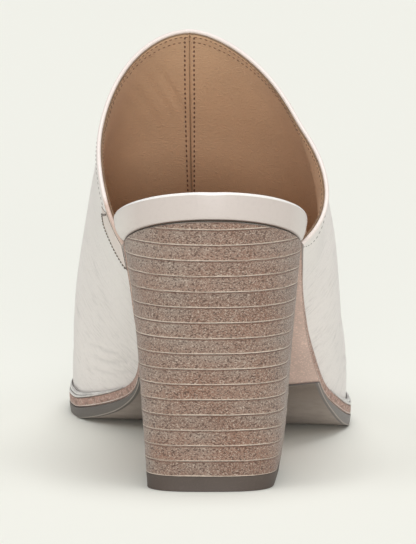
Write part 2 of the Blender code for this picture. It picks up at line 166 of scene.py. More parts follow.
HEEL_HALF_WIDTH = BALL_WIDTH * BOTTOM[1].half

# The last's body above each rib
Body = namedtuple("Body", "along crown shift out_medial out_lateral up full_medial full_lateral")
BODY = [
    Body(0.130, 0.95, -0.050, 0.20, 0.37, 0.33, 0.22, 0.15),
    Body(0.200, 0.95, -0.055, 0.23, 0.285, 0.38, 0.25, 0.15),
    Body(0.270, 0.97, -0.065, 0.285, 0.255, 0.42, 0.25, 0.15),
    Body(0.346, 1.01, -0.073, 0.33, 0.28, 0.48, 0.26, 0.215),
    Body(0.420, 0.98, -0.073, 0.35, 0.20, 0.475, 0.33, 0.37),
    Body(0.500, 0.86, -0.071, 0.265, 0.09, 0.48, 0.38, 0.435),
    Body(0.570, 0.70, -0.068, 0.11, 0.04, 0.535, 0.38, 0.425),
    Body(0.640, 0.550, -0.066, 0.03, 0.02, 0.56, 0.34, 0.38),
    Body(0.720, 0.443, -0.064, 0.02, 0.02, 0.60, 0.31, 0.33),
    Body(0.810, 0.335, -0.066, 0.01, 0.01, 0.64, 0.27, 0.27),
    Body(0.900, 0.26, -0.072, 0.01, 0.01, 0.68, 0.22, 0.22),
    Body(1.000, 0.20, -0.086, 0.01, 0.01, 0.70, 0.18, 0.18),
]

Topline = namedtuple("Topline", "along reach")
TOPLINE = [
    Topline(0.00, 0.000),
    Topline(0.10, 0.100),
    Topline(0.25, 0.335),
    Topline(0.40, 0.600),
    Topline(0.55, 0.790),
    Topline(0.70, 0.917),
    Topline(0.85, 0.983),
    Topline(1.00, 1.000),
]

Sole = namedtuple("Sole", "along reach midsole outsole")
SOLE = [
    Sole(0.00, -0.30, 0.22, 0.30),
    Sole(0.14, -0.30, 0.22, 0.30),
    Sole(0.22, -0.10, 0.45, 0.30),
    Sole(0.28, 0.15, 0.85, 0.30),
    Sole(0.36, 0.35, 1.00, 0.30),
    Sole(0.44, 0.60, 1.00, 0.35),
    Sole(0.50, 0.90, 1.00, 0.85),
    Sole(0.55, 1.00, 1.00, 1.00),
    Sole(0.61, 1.00, 1.00, 1.00),
    Sole(0.66, 0.70, 1.00, 1.00),
    Sole(0.76, 0.75, 1.00, 1.00),
    Sole(0.86, 1.00, 1.00, 1.00),
    Sole(1.00, 1.00, 1.00, 1.00),
]

Footbed = namedtuple("Footbed", "along thick flare_medial flare_lateral inside room")
FOOTBED = [
    Footbed(0.000, 1.00, 0.10, 0.10, 0.0, 0.0),
    Footbed(0.040, 1.00, 0.35, 0.25, 0.0, 0.0),
    Footbed(0.080, 1.00, 0.75, 0.45, 0.0, 0.0),
    Footbed(0.118, 1.00, 1.00, 0.55, 0.0, 0.0),
    Footbed(0.137, 1.00, 1.00, 0.50, 1.0, 0.0),
    Footbed(0.160, 0.95, 0.80, 0.35, 1.0, 0.1),
    Footbed(0.200, 0.75, 0.40, 0.30, 1.0, 0.6),
    Footbed(0.260, 0.30, 0.00, 0.00, 1.0, 3.0),
    Footbed(0.320, 0.00, 0.00, 0.00, 1.0, 6.0),
    Footbed(0.380, 0.00, 0.00, 0.00, 1.0, 6.0),
    Footbed(1.000, 0.00, 0.00, 0.00, 1.0, 6.0),
]

Heel = namedtuple("Heel", "along half across back front round power turn")
HEEL = [
    Heel(0.00, 0.690, 0.0004, 0.137, 0.865, 0.27, 3.00, 0.070),
    Heel(0.05, 0.710, 0.0006, 0.131, 0.867, 0.28, 2.90, 0.070),
    Heel(0.20, 0.755, 0.0010, 0.112, 0.875, 0.31, 2.80, 0.068),
    Heel(0.44, 0.812, 0.0010, 0.077, 0.912, 0.38, 2.55, 0.060),
    Heel(0.68, 0.888, 0.0010, 0.046, 0.980, 0.46, 2.30, 0.040),
    Heel(0.84, 0.955, 0.0006, 0.029, 1.060, 0.53, 2.10, 0.020),
    Heel(1.00, 1.000, 0.0004, 0.015, 1.170, 0.58, 2.00, 0.000),
]

# Creases of the leather: the middle's side, its place along and up in metres, the crease's tilt
# in degrees, its half length and half width, and its depth
Crease = namedtuple("Crease", "side along up tilt half_length half_width depth")
CREASES = [
    Crease(-1, 0.113, 0.0266, 4, 0.0095, 0.0008, 0.00040),
    Crease(-1, 0.108, 0.0243, -3, 0.0070, 0.0008, 0.00034),
    Crease(-1, 0.116, 0.0226, 3, 0.0090, 0.0008, 0.00038),
    Crease(-1, 0.110, 0.0203, -2, 0.0065, 0.0008, 0.00028),
    Crease(-1, 0.121, 0.0185, 5, 0.0070, 0.0008, 0.00026),
    Crease(1, 0.118, 0.0240, 3, 0.0070, 0.0011, 0.00030),
    Crease(1, 0.121, 0.0202, -4, 0.0060, 0.0010, 0.00026),
]

# Soft folds of the lining, as seen from behind: the middle's place across and up in metres, the
# fold's tilt in degrees, its half length and half width, and its depth
Fold = namedtuple("Fold", "across up tilt half_length half_width depth")
LINING_FOLDS = [
    Fold(-0.0150, 0.1185, -58, 0.0100, 0.0011, 0.00080),
    Fold(-0.0185, 0.1160, -55, 0.0110, 0.0012, 0.00080),
    Fold(-0.0225, 0.1115, -56, 0.0100, 0.0013, 0.00065),
    Fold(-0.0120, 0.1130, -52, 0.0080, 0.0009, 0.00050),
    Fold(-0.0255, 0.1060, -62, 0.0090, 0.0014, 0.00045),
]


class ShoeSizes(bpy.types.PropertyGroup):
    """Sizes of what is added to the frame's pieces."""
    leather: FloatProperty(
        name="Leather", description="Thickness of the outer leather",
        default=0.00135, min=0.0008, max=0.0018, unit="LENGTH", precision=5)
    lining: FloatProperty(
        name="Lining", description="Thickness of the lining leather",
        default=0.00055, min=0.0003, max=0.0010, unit="LENGTH", precision=5)
    stitch_pitch: FloatProperty(
        name="Stitch pitch", description="Distance from one stitch to the next",
        default=0.0017, min=0.0012, max=0.0060, unit="LENGTH", precision=5)
    stitch_width: FloatProperty(
        name="Thread", description="Thickness of the thread",
        default=0.00046, min=0.0002, max=0.0010, unit="LENGTH", precision=5)
    edge_row: FloatProperty(
        name="Edge row", description="Distance of the first stitch row from the topline",
        default=0.0012, min=0.0008, max=0.0040, unit="LENGTH", precision=5)
    second_row: FloatProperty(
        name="Second row", description="Distance of the lining's second row from the topline",
        default=0.0040, min=0.0020, max=0.0080, unit="LENGTH", precision=5)
    seam_rows: FloatProperty(
        name="Seam rows", description="Distance of each seam row from the centre seam",
        default=0.0017, min=0.0008, max=0.0040, unit="LENGTH", precision=5)
    rows: IntProperty(
        name="Rows", description="Mesh rows from the topline to the toe",
        default=160, min=40, max=180)
    columns: IntProperty(
        name="Columns", description="Mesh columns on each side of the ridge",
        default=108, min=30, max=120)


def colour(name, description, value):
    """A colour setting."""
    return FloatVectorProperty(
        name=name, description=description, subtype="COLOR", size=3, min=0, max=1, default=value)


class ShoeColours(bpy.types.PropertyGroup):
    """Colours of the shoe's materials."""
    cream: colour("Cream leather", "The upper's outside", (0.825, 0.779, 0.750))
    rand: colour("Rand leather", "The wrapped edge over the heel", (0.63, 0.560, 0.525))
    lining: colour("Lining", "The upper's inside and the sock", (0.690, 0.465, 0.298))
    thread: colour("Thread", "Stitches of the lining", (0.12, 0.055, 0.030))
    pale_thread: colour("Pale thread", "Stitches of the outside", (0.30, 0.28, 0.26))
    welt: colour("Welt", "The strip round the forepart", (0.55, 0.53, 0.51))
    edge: colour("Sole edge", "The midsole's edge", (0.43, 0.270, 0.220))
    waist: colour("Waist", "The midsole's underside", (0.72, 0.540, 0.467))
    stack: colour("Stack", "The heel's lifts", (0.255, 0.178, 0.138))
    rubber: colour("Rubber", "The top lift", (0.090, 0.069, 0.058))
    rubber_edge: colour("Rubber edge", "The outsole's side", (0.145, 0.130, 0.118))
    tread: colour("Tread", "The outsole's underside", (0.19, 0.155, 0.130))
    floor: colour("Floor", "The studio floor", (0.855, 0.857, 0.797))


class ShoeSettings(bpy.types.PropertyGroup):
    """All that a user may change."""
    sizes: PointerProperty(type=ShoeSizes, name="Sizes", description="Sizes of the added detail")
    colours: PointerProperty(type=ShoeColours, name="Colours", description="Material colours")


def sizes():
    """The sizes set in the scene."""
    return bpy.context.scene.mule_shoe.sizes


def colours():
    """The colours set in the scene."""
    return bpy.context.scene.mule_shoe.colours


def flow(table, column, at):
    """Akima's curve through one column of a table."""
    x = np.array([row.along for row in table])
    y = np.array([getattr(row, column) for row in table])
    rate = np.diff(y) / np.diff(x)
    first = [3*rate[0] - 2*rate[1], 2*rate[0] - rate[1]]
    last = [2*rate[-1] - rate[-2], 3*rate[-1] - 2*rate[-2]]
    rate = np.concatenate((first, rate, last))
    change = np.abs(np.diff(rate))
    after, before = change[2:], change[:-2]
    total = np.maximum(after + before, 1e-9)
    weighed = (after*rate[1:-2] + before*rate[2:-1]) / total
    slope = np.where(after + before > 1e-9, weighed, (rate[1:-2] + rate[2:-1]) / 2)
    at = np.clip(np.asarray(at, float), x[0], x[-1])
    i = np.clip(np.searchsorted(x, at, side="right") - 1, 0, len(x) - 2)
    step = x[i + 1] - x[i]
    u = (at - x[i]) / step
    return ((2*u**3 - 3*u**2 + 1)*y[i] + (u**3 - 2*u**2 + u)*step*slope[i]
            + (3*u**2 - 2*u**3)*y[i + 1] + (u**3 - u**2)*step*slope[i + 1])


def closing(distance, reach, power):
    """How far a rounded end has opened at a distance from its tip, from 0 to 1."""
    u = np.clip(1 - distance / reach, 0, 1)
    return (1 - u**power) ** (1 / power)


def skew(along):
    """How far the rib at a station is set back for each metre to the lateral side."""
    return BALL_SKEW * flow(BOTTOM, "skew", along / LENGTH)


def toe_round(along):
    """How far the toe's end has opened at a station, from 0 to 1."""
    return closing(LENGTH - along, TOE_ROUND, 2.2)


def half_width(along):
    """Half the width of the last's bottom at a station."""
    ends = closing(along, SEAT_ROUND, 2.0) * toe_round(along)
    return BALL_WIDTH * flow(BOTTOM, "half", along / LENGTH) * ends


def feather_x(along, side):
    """The place across of the feather line on one side."""
    return BALL_WIDTH * flow(BOTTOM, "axis", along / LENGTH) + side*half_width(along)


def bed(along):
    """The height of the last's bottom over the floor at a station."""
    rise = np.maximum(flow(BOTTOM, "rise", along / LENGTH), 0)
    spring = flow(BOTTOM, "spring", along / LENGTH)
    return FORE_HEIGHT + (SEAT_HEIGHT - FORE_HEIGHT)*rise + TOE_SPRING*spring


def stretch(along):
    """How much more height a thickness takes where the bed is steep."""
    step = 0.0005
    slope = (bed(along + step) - bed(along - step)) / (2*step)
    return np.sqrt(1 + slope**2)


def station(x, y):
    """The station of the rib that runs through a point in plan."""
    along = y + skew(y)*x
    for _ in range(4):
        along = y + skew(along)*x
    return along


def level(x, y, rise):
    """The height, at a point in plan, of what lies a rise above the bed, square to it."""
    along = station(x, y)
    return bed(along) + rise*stretch(along)


def section(along, side, t):
    """A point of the upper's outer face, with t from the feather line (0) to the ridge (1)."""
    share = along / LENGTH
    name = "lateral" if side > 0 else "medial"
    foot_x = feather_x(along, side)
    foot_z = bed(along) + GAP*stretch(along)
    ends = toe_round(along)
    depth = THROAT_DEPTH * flow(BODY, "crown", share) * closing(LENGTH - along, TOE_CAP_ROUND, 2.6)
    crown_x = BALL_WIDTH * flow(BODY, "shift", share)
    wall_x = foot_x + side*BALL_WIDTH*flow(BODY, "out_" + name, share)*ends
    shoulder_x = crown_x + side*BALL_WIDTH*flow(BODY, "full_" + name, share)*ends
    up = flow(BODY, "up", share)
    u = 1 - t
    x = u**3*foot_x + 3*u**2*t*wall_x + 3*u*t**2*shoulder_x + t**3*crown_x
    z = foot_z + depth*(3*u**2*t*up + 3*u*t**2 + t**3)
    return np.stack(np.broadcast_arrays(x, along - skew(along)*x, z), -1)


def wall_lean(along, side, height):
    """How far the outer face stands out from the feather line at a height over it."""
    t = np.linspace(0, 0.5, 40)
    points = section(np.full_like(t, along), side, t)
    return np.interp(height, points[:, 2] - points[0, 2], points[:, 0] - points[0, 0]) * side


def rail(along, side):
    """A point of the feather line in plan, and the direction that points out of the shoe."""
    step = LENGTH * 1e-4
    ends = []
    for place in (along - step, along + step):
        place = min(max(place, 0.0), LENGTH)
        x = float(feather_x(place, side))
        ends.append(np.array([x, place - float(skew(place))*x]))
    x = float(feather_x(along, side))
    point = np.array([x, along - float(skew(along))*x])
    run = ends[1] - ends[0]
    out = np.array([run[1], -run[0]]) * side
    if along <= 0:
        out = np.array([0.0, -1.0])
    if along >= LENGTH:
        out = np.array([0.0, 1.0])
    return point, out / np.linalg.norm(out)


def crowd(start, end, count, round_start, round_end):
    """Stations that crowd towards the rounded ends."""
    share = np.linspace(0, 1, count)
    if round_start and round_end:
        share = (1 - np.cos(np.pi*share)) / 2
    elif round_end:
        share = np.sin(np.pi/2*share)
    return start + (end - start)*share


def sole_reach(along):
    """How far the sole stands out past the feather line at a station."""
    return WELT_REACH * float(flow(SOLE, "reach", along / LENGTH))


def midsole_thick(along):
    """The midsole's thickness at a station."""
    return MIDSOLE_THICK * flow(SOLE, "midsole", along / LENGTH)


def outsole_thick(along):
    """The outsole's thickness at a station."""
    return OUTSOLE_THICK * flow(SOLE, "outsole", along / LENGTH)


def topline_along(t):
    """The topline's station for a share of the way up to the ridge."""
    return WING_ALONG + (THROAT_ALONG - WING_ALONG)*flow(TOPLINE, "reach", t)


def smooth(low, high, value):
    """A soft step from 0 at low to 1 at high."""
    u = np.clip((value - low) / (high - low), 0, 1)
    return u*u*(3 - 2*u)


# Shader groups and materials


def group_sockets(tree, inputs, outputs):
    """Add a group's inputs, with their defaults, and its outputs."""
    for name, kind, default in inputs:
        socket = tree.interface.new_socket(name=name, in_out="INPUT", socket_type=kind)
        if default is not None:
            socket.default_value = default
    for name, kind in outputs:
        tree.interface.new_socket(name=name, in_out="OUTPUT", socket_type=kind)


def shader_group(name, inputs, outputs):
    """A shader group with its input and output nodes."""
    tree = bpy.data.node_groups.new(name, "ShaderNodeTree")
    group_sockets(tree, inputs, outputs)
    return tree, tree.nodes.new("NodeGroupInput"), tree.nodes.new("NodeGroupOutput")


def node(tree, kind, **settings):
    """A node of the tree with the given settings."""
    made = tree.nodes.new(kind)
    for name, value in settings.items():
        setattr(made, name, value)
    return made


def math_node(tree, operation, first, second=None, third=None, clamp=False):
    """The result of a calculation on values or sockets."""
    made = node(tree, "ShaderNodeMath", operation=operation, use_clamp=clamp)
    for socket, value in zip(made.inputs, (first, second, third)):
        if value is None:
            continue
        if isinstance(value, (int, float)):
            socket.default_value = value
        else:
            tree.links.new(value, socket)
    return made.outputs[0]


def mix_colours(tree, factor, first, second, blend="MIX"):
    """The mix of two colours, each a value or a socket."""
    made = node(tree, "ShaderNodeMix", data_type="RGBA", blend_type=blend)
    for socket, value in zip((made.inputs[0], made.inputs[6], made.inputs[7]),
                             (factor, first, second)):
        if isinstance(value, (int, float)):
            socket.default_value = value
        elif isinstance(value, tuple):
            socket.default_value = (*value, 1.0)
        else:
            tree.links.new(value, socket)
    return made.outputs[2]


def noise(tree, vector, scale, detail=3.0, roughness=0.5, stretch_by=(1, 1, 1), turn=(0, 0, 0)):
    """Noise over a vector that is stretched and turned first."""
    mapping = node(tree, "ShaderNodeMapping")
    mapping.inputs["Scale"].default_value = stretch_by
    mapping.inputs["Rotation"].default_value = turn
    tree.links.new(vector, mapping.inputs["Vector"])
    made = node(tree, "ShaderNodeTexNoise")
    made.inputs["Scale"].default_value = scale
    made.inputs["Detail"].default_value = detail
    made.inputs["Roughness"].default_value = roughness
    tree.links.new(mapping.outputs[0], made.inputs["Vector"])
    return made.outputs["Fac"]


def grain_group():
    """Leather grain: fine pebbles and long soft wrinkles, as one height."""
    tree, start, end = shader_group(
        "leather_grain",
        [("Vector", "NodeSocketVector", None), ("Pebble Scale", "NodeSocketFloat", 1500.0),
         ("Wrinkle Scale", "NodeSocketFloat", 260.0), ("Wrinkles", "NodeSocketFloat", 0.5)],
        [("Height", "NodeSocketFloat")])
    pebbles = node(tree, "ShaderNodeTexVoronoi", feature="SMOOTH_F1")
    pebbles.inputs["Smoothness"].default_value = 0.6
    tree.links.new(start.outputs["Vector"], pebbles.inputs["Vector"])
    tree.links.new(start.outputs["Pebble Scale"], pebbles.inputs["Scale"])
    mapping = node(tree, "ShaderNodeMapping")
    mapping.inputs["Rotation"].default_value = (0.5, 0.2, 0.3)
    mapping.inputs["Scale"].default_value = (1.0, 0.35, 1.6)
    tree.links.new(start.outputs["Vector"], mapping.inputs["Vector"])
    wrinkles = node(tree, "ShaderNodeTexNoise")
    wrinkles.inputs["Detail"].default_value = 4.0
    wrinkles.inputs["Distortion"].default_value = 0.6
    tree.links.new(mapping.outputs[0], wrinkles.inputs["Vector"])
    tree.links.new(start.outputs["Wrinkle Scale"], wrinkles.inputs["Scale"])
    folded = math_node(tree, "ABSOLUTE", math_node(tree, "SUBTRACT", wrinkles.outputs["Fac"], 0.5))
    soft = math_node(tree, "MULTIPLY", folded, start.outputs["Wrinkles"])
    total = math_node(tree, "MULTIPLY_ADD", soft, 3.0, pebbles.outputs["Distance"])
    tree.links.new(total, end.inputs["Height"])
    return tree


def mottle_group():
    """Two colours that drift into each other, with fine specks of a third."""
    tree, start, end = shader_group(
        "mottle",
        [("Vector", "NodeSocketVector", None), ("Main", "NodeSocketColor", None),
         ("Patch", "NodeSocketColor", None), ("Speck", "NodeSocketColor", None),
         ("Patch Scale", "NodeSocketFloat", 60.0), ("Patches", "NodeSocketFloat", 0.5),
         ("Speck Scale", "NodeSocketFloat", 1200.0), ("Specks", "NodeSocketFloat", 0.2)],
        [("Color", "NodeSocketColor"), ("Mask", "NodeSocketFloat")])
    patches = node(tree, "ShaderNodeTexNoise")
    patches.inputs["Detail"].default_value = 3.0
    tree.links.new(start.outputs["Vector"], patches.inputs["Vector"])
    tree.links.new(start.outputs["Patch Scale"], patches.inputs["Scale"])
    drift = math_node(tree, "MULTIPLY_ADD", patches.outputs["Fac"], 3.0, -1.0, clamp=True)
    drift = math_node(tree, "MULTIPLY", drift, start.outputs["Patches"])
    base = mix_colours(tree, drift, start.outputs["Main"], start.outputs["Patch"])
    specks = node(tree, "ShaderNodeTexNoise")
    specks.inputs["Detail"].default_value = 2.0
    tree.links.new(start.outputs["Vector"], specks.inputs["Vector"])
    tree.links.new(start.outputs["Speck Scale"], specks.inputs["Scale"])
    dots = math_node(tree, "MULTIPLY_ADD", specks.outputs["Fac"], 6.0, -3.1, clamp=True)
    dots = math_node(tree, "MULTIPLY", dots, start.outputs["Specks"])
    tree.links.new(mix_colours(tree, dots, base, start.outputs["Speck"]), end.inputs["Color"])
    tree.links.new(dots, end.inputs["Mask"])
    return tree


def group_node(tree, group, vector, **values):
    """A shader group in a tree, with its vector and its values by input name."""
    made = node(tree, "ShaderNodeGroup")
    made.node_tree = group
    tree.links.new(vector, made.inputs["Vector"])
    for name, value in values.items():
        socket = made.inputs[name.replace("_", " ").title()]
        if isinstance(value, (int, float)):
            socket.default_value = value
        else:
            socket.default_value = (*value, 1.0)
    return made


def scaled(tone, factor):
    """A colour made lighter or darker by a factor."""
    return tuple(min(1.0, max(0.0, channel*factor)) for channel in tone)


def toward(tone, other, share):
    """A colour moved a share of the way to another."""
    return tuple(a + (b - a)*share for a, b in zip(tone, other))


def made_material(name):
    """The material of this name, if it has been made."""
    return bpy.data.materials.get(name + LOOK)


def make_material(name, roughness, specular=0.5, sheen=0.0, coat=0.0):
    """A material with its Principled shader, and Object coordinates to start a pattern from."""
    material = bpy.data.materials.new(name + LOOK)
    material.use_nodes = True
    tree = material.node_tree
    shader = tree.nodes["Principled BSDF"]
    shader.inputs["Roughness"].default_value = roughness
    shader.inputs["Specular IOR Level"].default_value = specular
    shader.inputs["Sheen Weight"].default_value = sheen
    shader.inputs["Coat Weight"].default_value = coat
    shader.inputs["Coat Roughness"].default_value = 0.3
    place = node(tree, "ShaderNodeTexCoord").outputs["Object"]
    return material, tree, shader, place


def add_bump(tree, shader, height, strength, distance):
    """Let a height pattern bend the shader's normal."""
    bump = node(tree, "ShaderNodeBump")
    bump.inputs["Strength"].default_value = strength
    bump.inputs["Distance"].default_value = distance
    tree.links.new(height, bump.inputs["Height"])
    tree.links.new(bump.outputs["Normal"], shader.inputs["Normal"])


def shared_group(name, maker):
    """The shader group of this name, made at its first use."""
    return bpy.data.node_groups.get(name) or maker()


def leather_material(name, tone, patch, roughness, grain, wrinkles, sheen=0.0, coat=0.0,
                     wrinkle_scale=260.0):
    """Smooth leather with a drift of tone, fine grain and soft wrinkles."""
    if made_material(name):
        return made_material(name)
    material, tree, shader, place = make_material(name, roughness, 0.45, sheen, coat)
    tones = group_node(tree, shared_group("mottle", mottle_group), place, main=tone, patch=patch,
                       speck=scaled(tone, 0.88), patch_scale=45.0, patches=0.6,
                       speck_scale=900.0, specks=0.25)
    tree.links.new(tones.outputs["Color"], shader.inputs["Base Color"])
    pores = group_node(tree, shared_group("leather_grain", grain_group), place,
                       wrinkles=wrinkles, wrinkle_scale=wrinkle_scale)
    add_bump(tree, shader, pores.outputs["Height"], grain, 0.0004)
    return material


def paint_end_highlights(material, pale, first, last, most):
    """Paint a highlight at both sides of the shoe: the material fades toward a paler tone past a
    distance across.
    """
    tree = material.node_tree
    shader = tree.nodes["Principled BSDF"]
    before = shader.inputs["Base Color"].links[0].from_socket
    where = node(tree, "ShaderNodeSeparateXYZ")
    tree.links.new(node(tree, "ShaderNodeTexCoord").outputs["Object"], where.inputs[0])
    out = math_node(tree, "ABSOLUTE", where.outputs["X"])
    rate = 1/(last - first)
    fade = math_node(tree, "MULTIPLY_ADD", out, rate, -first*rate, clamp=True)
    fade = math_node(tree, "MULTIPLY", fade, most)
    tree.links.new(mix_colours(tree, fade, before, pale), shader.inputs["Base Color"])


def pink_wing(material, pink):
    """Turn a material pinkish at the inner wing's low end, beside the patch."""
    tree = material.node_tree
    shader = tree.nodes["Principled BSDF"]
    before = shader.inputs["Base Color"].links[0].from_socket
    where = node(tree, "ShaderNodeSeparateXYZ")
    tree.links.new(node(tree, "ShaderNodeTexCoord").outputs["Object"], where.inputs[0])
    low = math_node(tree, "MULTIPLY_ADD", where.outputs["Z"], -400.0, 34.6, clamp=True)
    inner = math_node(tree, "LESS_THAN", where.outputs["X"], 0.0)
    there = math_node(tree, "MULTIPLY", low, inner)
    tree.links.new(mix_colours(tree, there, before, pink), shader.inputs["Base Color"])


def upper_material(name, tone):
    """Cream leather: a drift of tone, fine grain, and fine slanting wrinkles low on the sides, with
    painted shade in the wrinkles and the creases and a painted highlight on the creases' ridges.
    """
    if made_material(name):
        return made_material(name)
    material, tree, shader, place = make_material(name, 0.46, 0.45, 0.1)
    tones = group_node(tree, shared_group("mottle", mottle_group), place, main=tone,
                       patch=scaled(tone, 1.05), speck=scaled(tone, 0.9), patch_scale=40.0,
                       patches=0.7, speck_scale=1000.0, specks=0.3)
    pores = group_node(tree, shared_group("leather_grain", grain_group), place, wrinkles=0.3)
    slant = node(tree, "ShaderNodeMapping", vector_type="TEXTURE")
    slant.inputs["Rotation"].default_value = (math.radians(42), 0.0, 0.0)
    slant.inputs["Scale"].default_value = (3.0, 7.0, 1.0)
    tree.links.new(place, slant.inputs["Vector"])
    lines = noise(tree, slant.outputs[0], 900.0, 3.0, 0.55)
    patches = noise(tree, place, 70.0, 2.0)
    where = node(tree, "ShaderNodeSeparateXYZ")
    tree.links.new(place, where.inputs[0])
    low = math_node(tree, "MULTIPLY_ADD", where.outputs["Z"], -22.0, 1.9, clamp=True)
    ball = math_node(tree, "MULTIPLY_ADD", where.outputs["Y"], -16.0, 2.2, clamp=True)
    side = math_node(tree, "MULTIPLY", low, ball)
    strength = math_node(tree, "MULTIPLY_ADD", patches, 2.6, -0.8, clamp=True)
    strength = math_node(tree, "MULTIPLY", strength, side)
    slanting = math_node(tree, "MULTIPLY", math_node(tree, "SUBTRACT", lines, 0.5), strength)
    height = math_node(tree, "MULTIPLY_ADD", slanting, 7.0, pores.outputs["Height"])
    shadow = math_node(tree, "MULTIPLY_ADD", slanting, -3.2, 0.0, clamp=True)
    lined = mix_colours(tree, shadow, tones.outputs["Color"], scaled(tone, 0.6))
    # Painted shade in the bottoms of the creases and a painted highlight on their ridges
    crease_shading = node(tree, "ShaderNodeAttribute", attribute_name="crease_shading").outputs["Fac"]
    crease_darkening = math_node(tree, "MULTIPLY", crease_shading, 0.36, clamp=True)
    raised = math_node(tree, "MULTIPLY", crease_shading, -0.8, clamp=True)
    lined = mix_colours(tree, crease_darkening, lined, scaled(tone, 0.62))
    tree.links.new(mix_colours(tree, raised, lined, scaled(tone, 1.12)),
                   shader.inputs["Base Color"])
    add_bump(tree, shader, height, 0.34, 0.0004)
    return material


def plain_edge_material(name, tone, patch, speck, roughness, specks=0.4, bump=0.3):
    """A cut or sanded edge: mottled and speckled, with a rough surface."""
    if made_material(name):
        return made_material(name)
    material, tree, shader, place = make_material(name, roughness, 0.3)
    tones = group_node(tree, shared_group("mottle", mottle_group), place, main=tone, patch=patch,
                       speck=speck, patch_scale=120.0, patches=0.8, speck_scale=1500.0,
                       specks=specks)
    tree.links.new(tones.outputs["Color"], shader.inputs["Base Color"])
    fuzz = noise(tree, place, 2200.0, 2.0)
    add_bump(tree, shader, fuzz, bump, 0.0003)
    return material


def band(tree, value, middle, half_width):
    """1 at the middle of a band, falling to 0 at its edges."""
    off = math_node(tree, "ABSOLUTE", math_node(tree, "SUBTRACT", value, middle))
    return math_node(tree, "SUBTRACT", 1.0, math_node(tree, "DIVIDE", off, half_width), clamp=True)


def sanded_group():
    """The look of sanded leather edges: light and dark grit laid over a colour, and its height."""
    tree, start, end = shader_group(
        "sanded_grit",
        [("Vector", "NodeSocketVector", None), ("Main", "NodeSocketColor", None),
         ("Light", "NodeSocketColor", None), ("Dark", "NodeSocketColor", None),
         ("Grit Scale", "NodeSocketFloat", 1400.0), ("Light Grit", "NodeSocketFloat", 0.5),
         ("Dark Grit", "NodeSocketFloat", 0.5)],
        [("Color", "NodeSocketColor"), ("Height", "NodeSocketFloat")])
    sizes_of = (1.0, 0.62)
    masks = []
    for share, turn in zip(sizes_of, (0.0, 0.7)):
        mapping = node(tree, "ShaderNodeMapping")
        mapping.inputs["Rotation"].default_value = (turn, turn, turn)
        mapping.inputs["Location"].default_value = (turn, 0.0, 0.0)
        mapping.inputs["Scale"].default_value = (0.75, 0.75, 1.15)
        grit = node(tree, "ShaderNodeTexNoise")
        grit.inputs["Detail"].default_value = 1.5
        grit.inputs["Roughness"].default_value = 0.6
        tree.links.new(start.outputs["Vector"], mapping.inputs["Vector"])
        tree.links.new(mapping.outputs[0], grit.inputs["Vector"])
        scale = math_node(tree, "MULTIPLY", start.outputs["Grit Scale"], share)
        tree.links.new(scale, grit.inputs["Scale"])
        masks.append(grit.outputs["Fac"])
    light = math_node(tree, "MULTIPLY_ADD", masks[0], 9.0, -4.7, clamp=True)
    light = math_node(tree, "MULTIPLY", light, start.outputs["Light Grit"])
    dark = math_node(tree, "MULTIPLY_ADD", masks[1], -9.0, 4.3, clamp=True)
    dark = math_node(tree, "MULTIPLY", dark, start.outputs["Dark Grit"])
    lit = mix_colours(tree, light, start.outputs["Main"], start.outputs["Light"])
    tree.links.new(mix_colours(tree, dark, lit, start.outputs["Dark"]), end.inputs["Color"])
    tree.links.new(math_node(tree, "SUBTRACT", light, dark), end.inputs["Height"])
    return tree


def stack_material(name, tone):
    """Stacked leather: each lift its own tone, a pale ridge at each join with a red line by it, and
    a painted sheen on the inner side.
    """
    if made_material(name):
        return made_material(name)
    material, tree, shader, place = make_material(name, 0.62, 0.3, 0.2)
    red = toward(tone, (0.27, 0.143, 0.096), 0.80)
    grey = toward(tone, (0.33, 0.268, 0.225), 0.75)
    tones = group_node(tree, shared_group("mottle", mottle_group), place, main=grey, patch=red,
                       speck=scaled(tone, 1.1), patch_scale=62.0, patches=1.0,
                       speck_scale=1500.0, specks=0.2)
    height = node(tree, "ShaderNodeSeparateXYZ")
    tree.links.new(place, height.inputs[0])
    wander = noise(tree, place, 90.0, 3.0)
    layer = math_node(tree, "DIVIDE", height.outputs["Z"], LIFT_PITCH)
    layer = math_node(tree, "MULTIPLY_ADD", wander, 0.14, layer)
    layer = math_node(tree, "SUBTRACT", layer, 0.07)
    number = math_node(tree, "FLOOR", layer)
    part = math_node(tree, "FRACT", layer)
    sinking = math_node(tree, "MULTIPLY_ADD", part, -0.95, 0.70, clamp=True)
    rising = mix_colours(tree, sinking, tones.outputs["Color"], red)
    own = node(tree, "ShaderNodeTexWhiteNoise", noise_dimensions="1D")
    tree.links.new(number, own.inputs["W"])
    shade = math_node(tree, "MULTIPLY_ADD", own.outputs["Value"], 0.16, 0.90)
    shaded = node(tree, "ShaderNodeHueSaturation")
    tree.links.new(rising, shaded.inputs["Color"])
    tree.links.new(shade, shaded.inputs["Value"])
    # Painted sheen: paler towards the inner side, laid under the grit
    painted_sheen = math_node(tree, "MULTIPLY_ADD", height.outputs["X"], -55.0, -0.95, clamp=True)
    painted_sheen = math_node(tree, "MULTIPLY", painted_sheen, 0.60)
    with_sheen = mix_colours(tree, painted_sheen, shaded.outputs["Color"], (0.50, 0.435, 0.385))
    grit = group_node(tree, shared_group("sanded_grit", sanded_group), place,
                      light=(0.60, 0.495, 0.41), dark=(0.085, 0.046, 0.034), grit_scale=3000.0,
                      light_grit=0.75, dark_grit=0.80)
    tree.links.new(with_sheen, grit.inputs["Main"])
    fuzz = noise(tree, place, 900.0, 4.0, 0.7)
    uneven = math_node(tree, "MULTIPLY_ADD", fuzz, 1.6, 0.05, clamp=True)
    seam = math_node(tree, "MULTIPLY", band(tree, part, 0.94, 0.06), uneven)
    seamed = mix_colours(tree, seam, grit.outputs["Color"], (0.16, 0.08, 0.055))
    rim = math_node(tree, "MULTIPLY", band(tree, part, 0.03, 0.065), uneven)
    pale = mix_colours(tree, rim, seamed, (0.78, 0.67, 0.56))
    tree.links.new(pale, shader.inputs["Base Color"])
    add_bump(tree, shader, grit.outputs["Height"], 0.5, 0.0003)
    return material


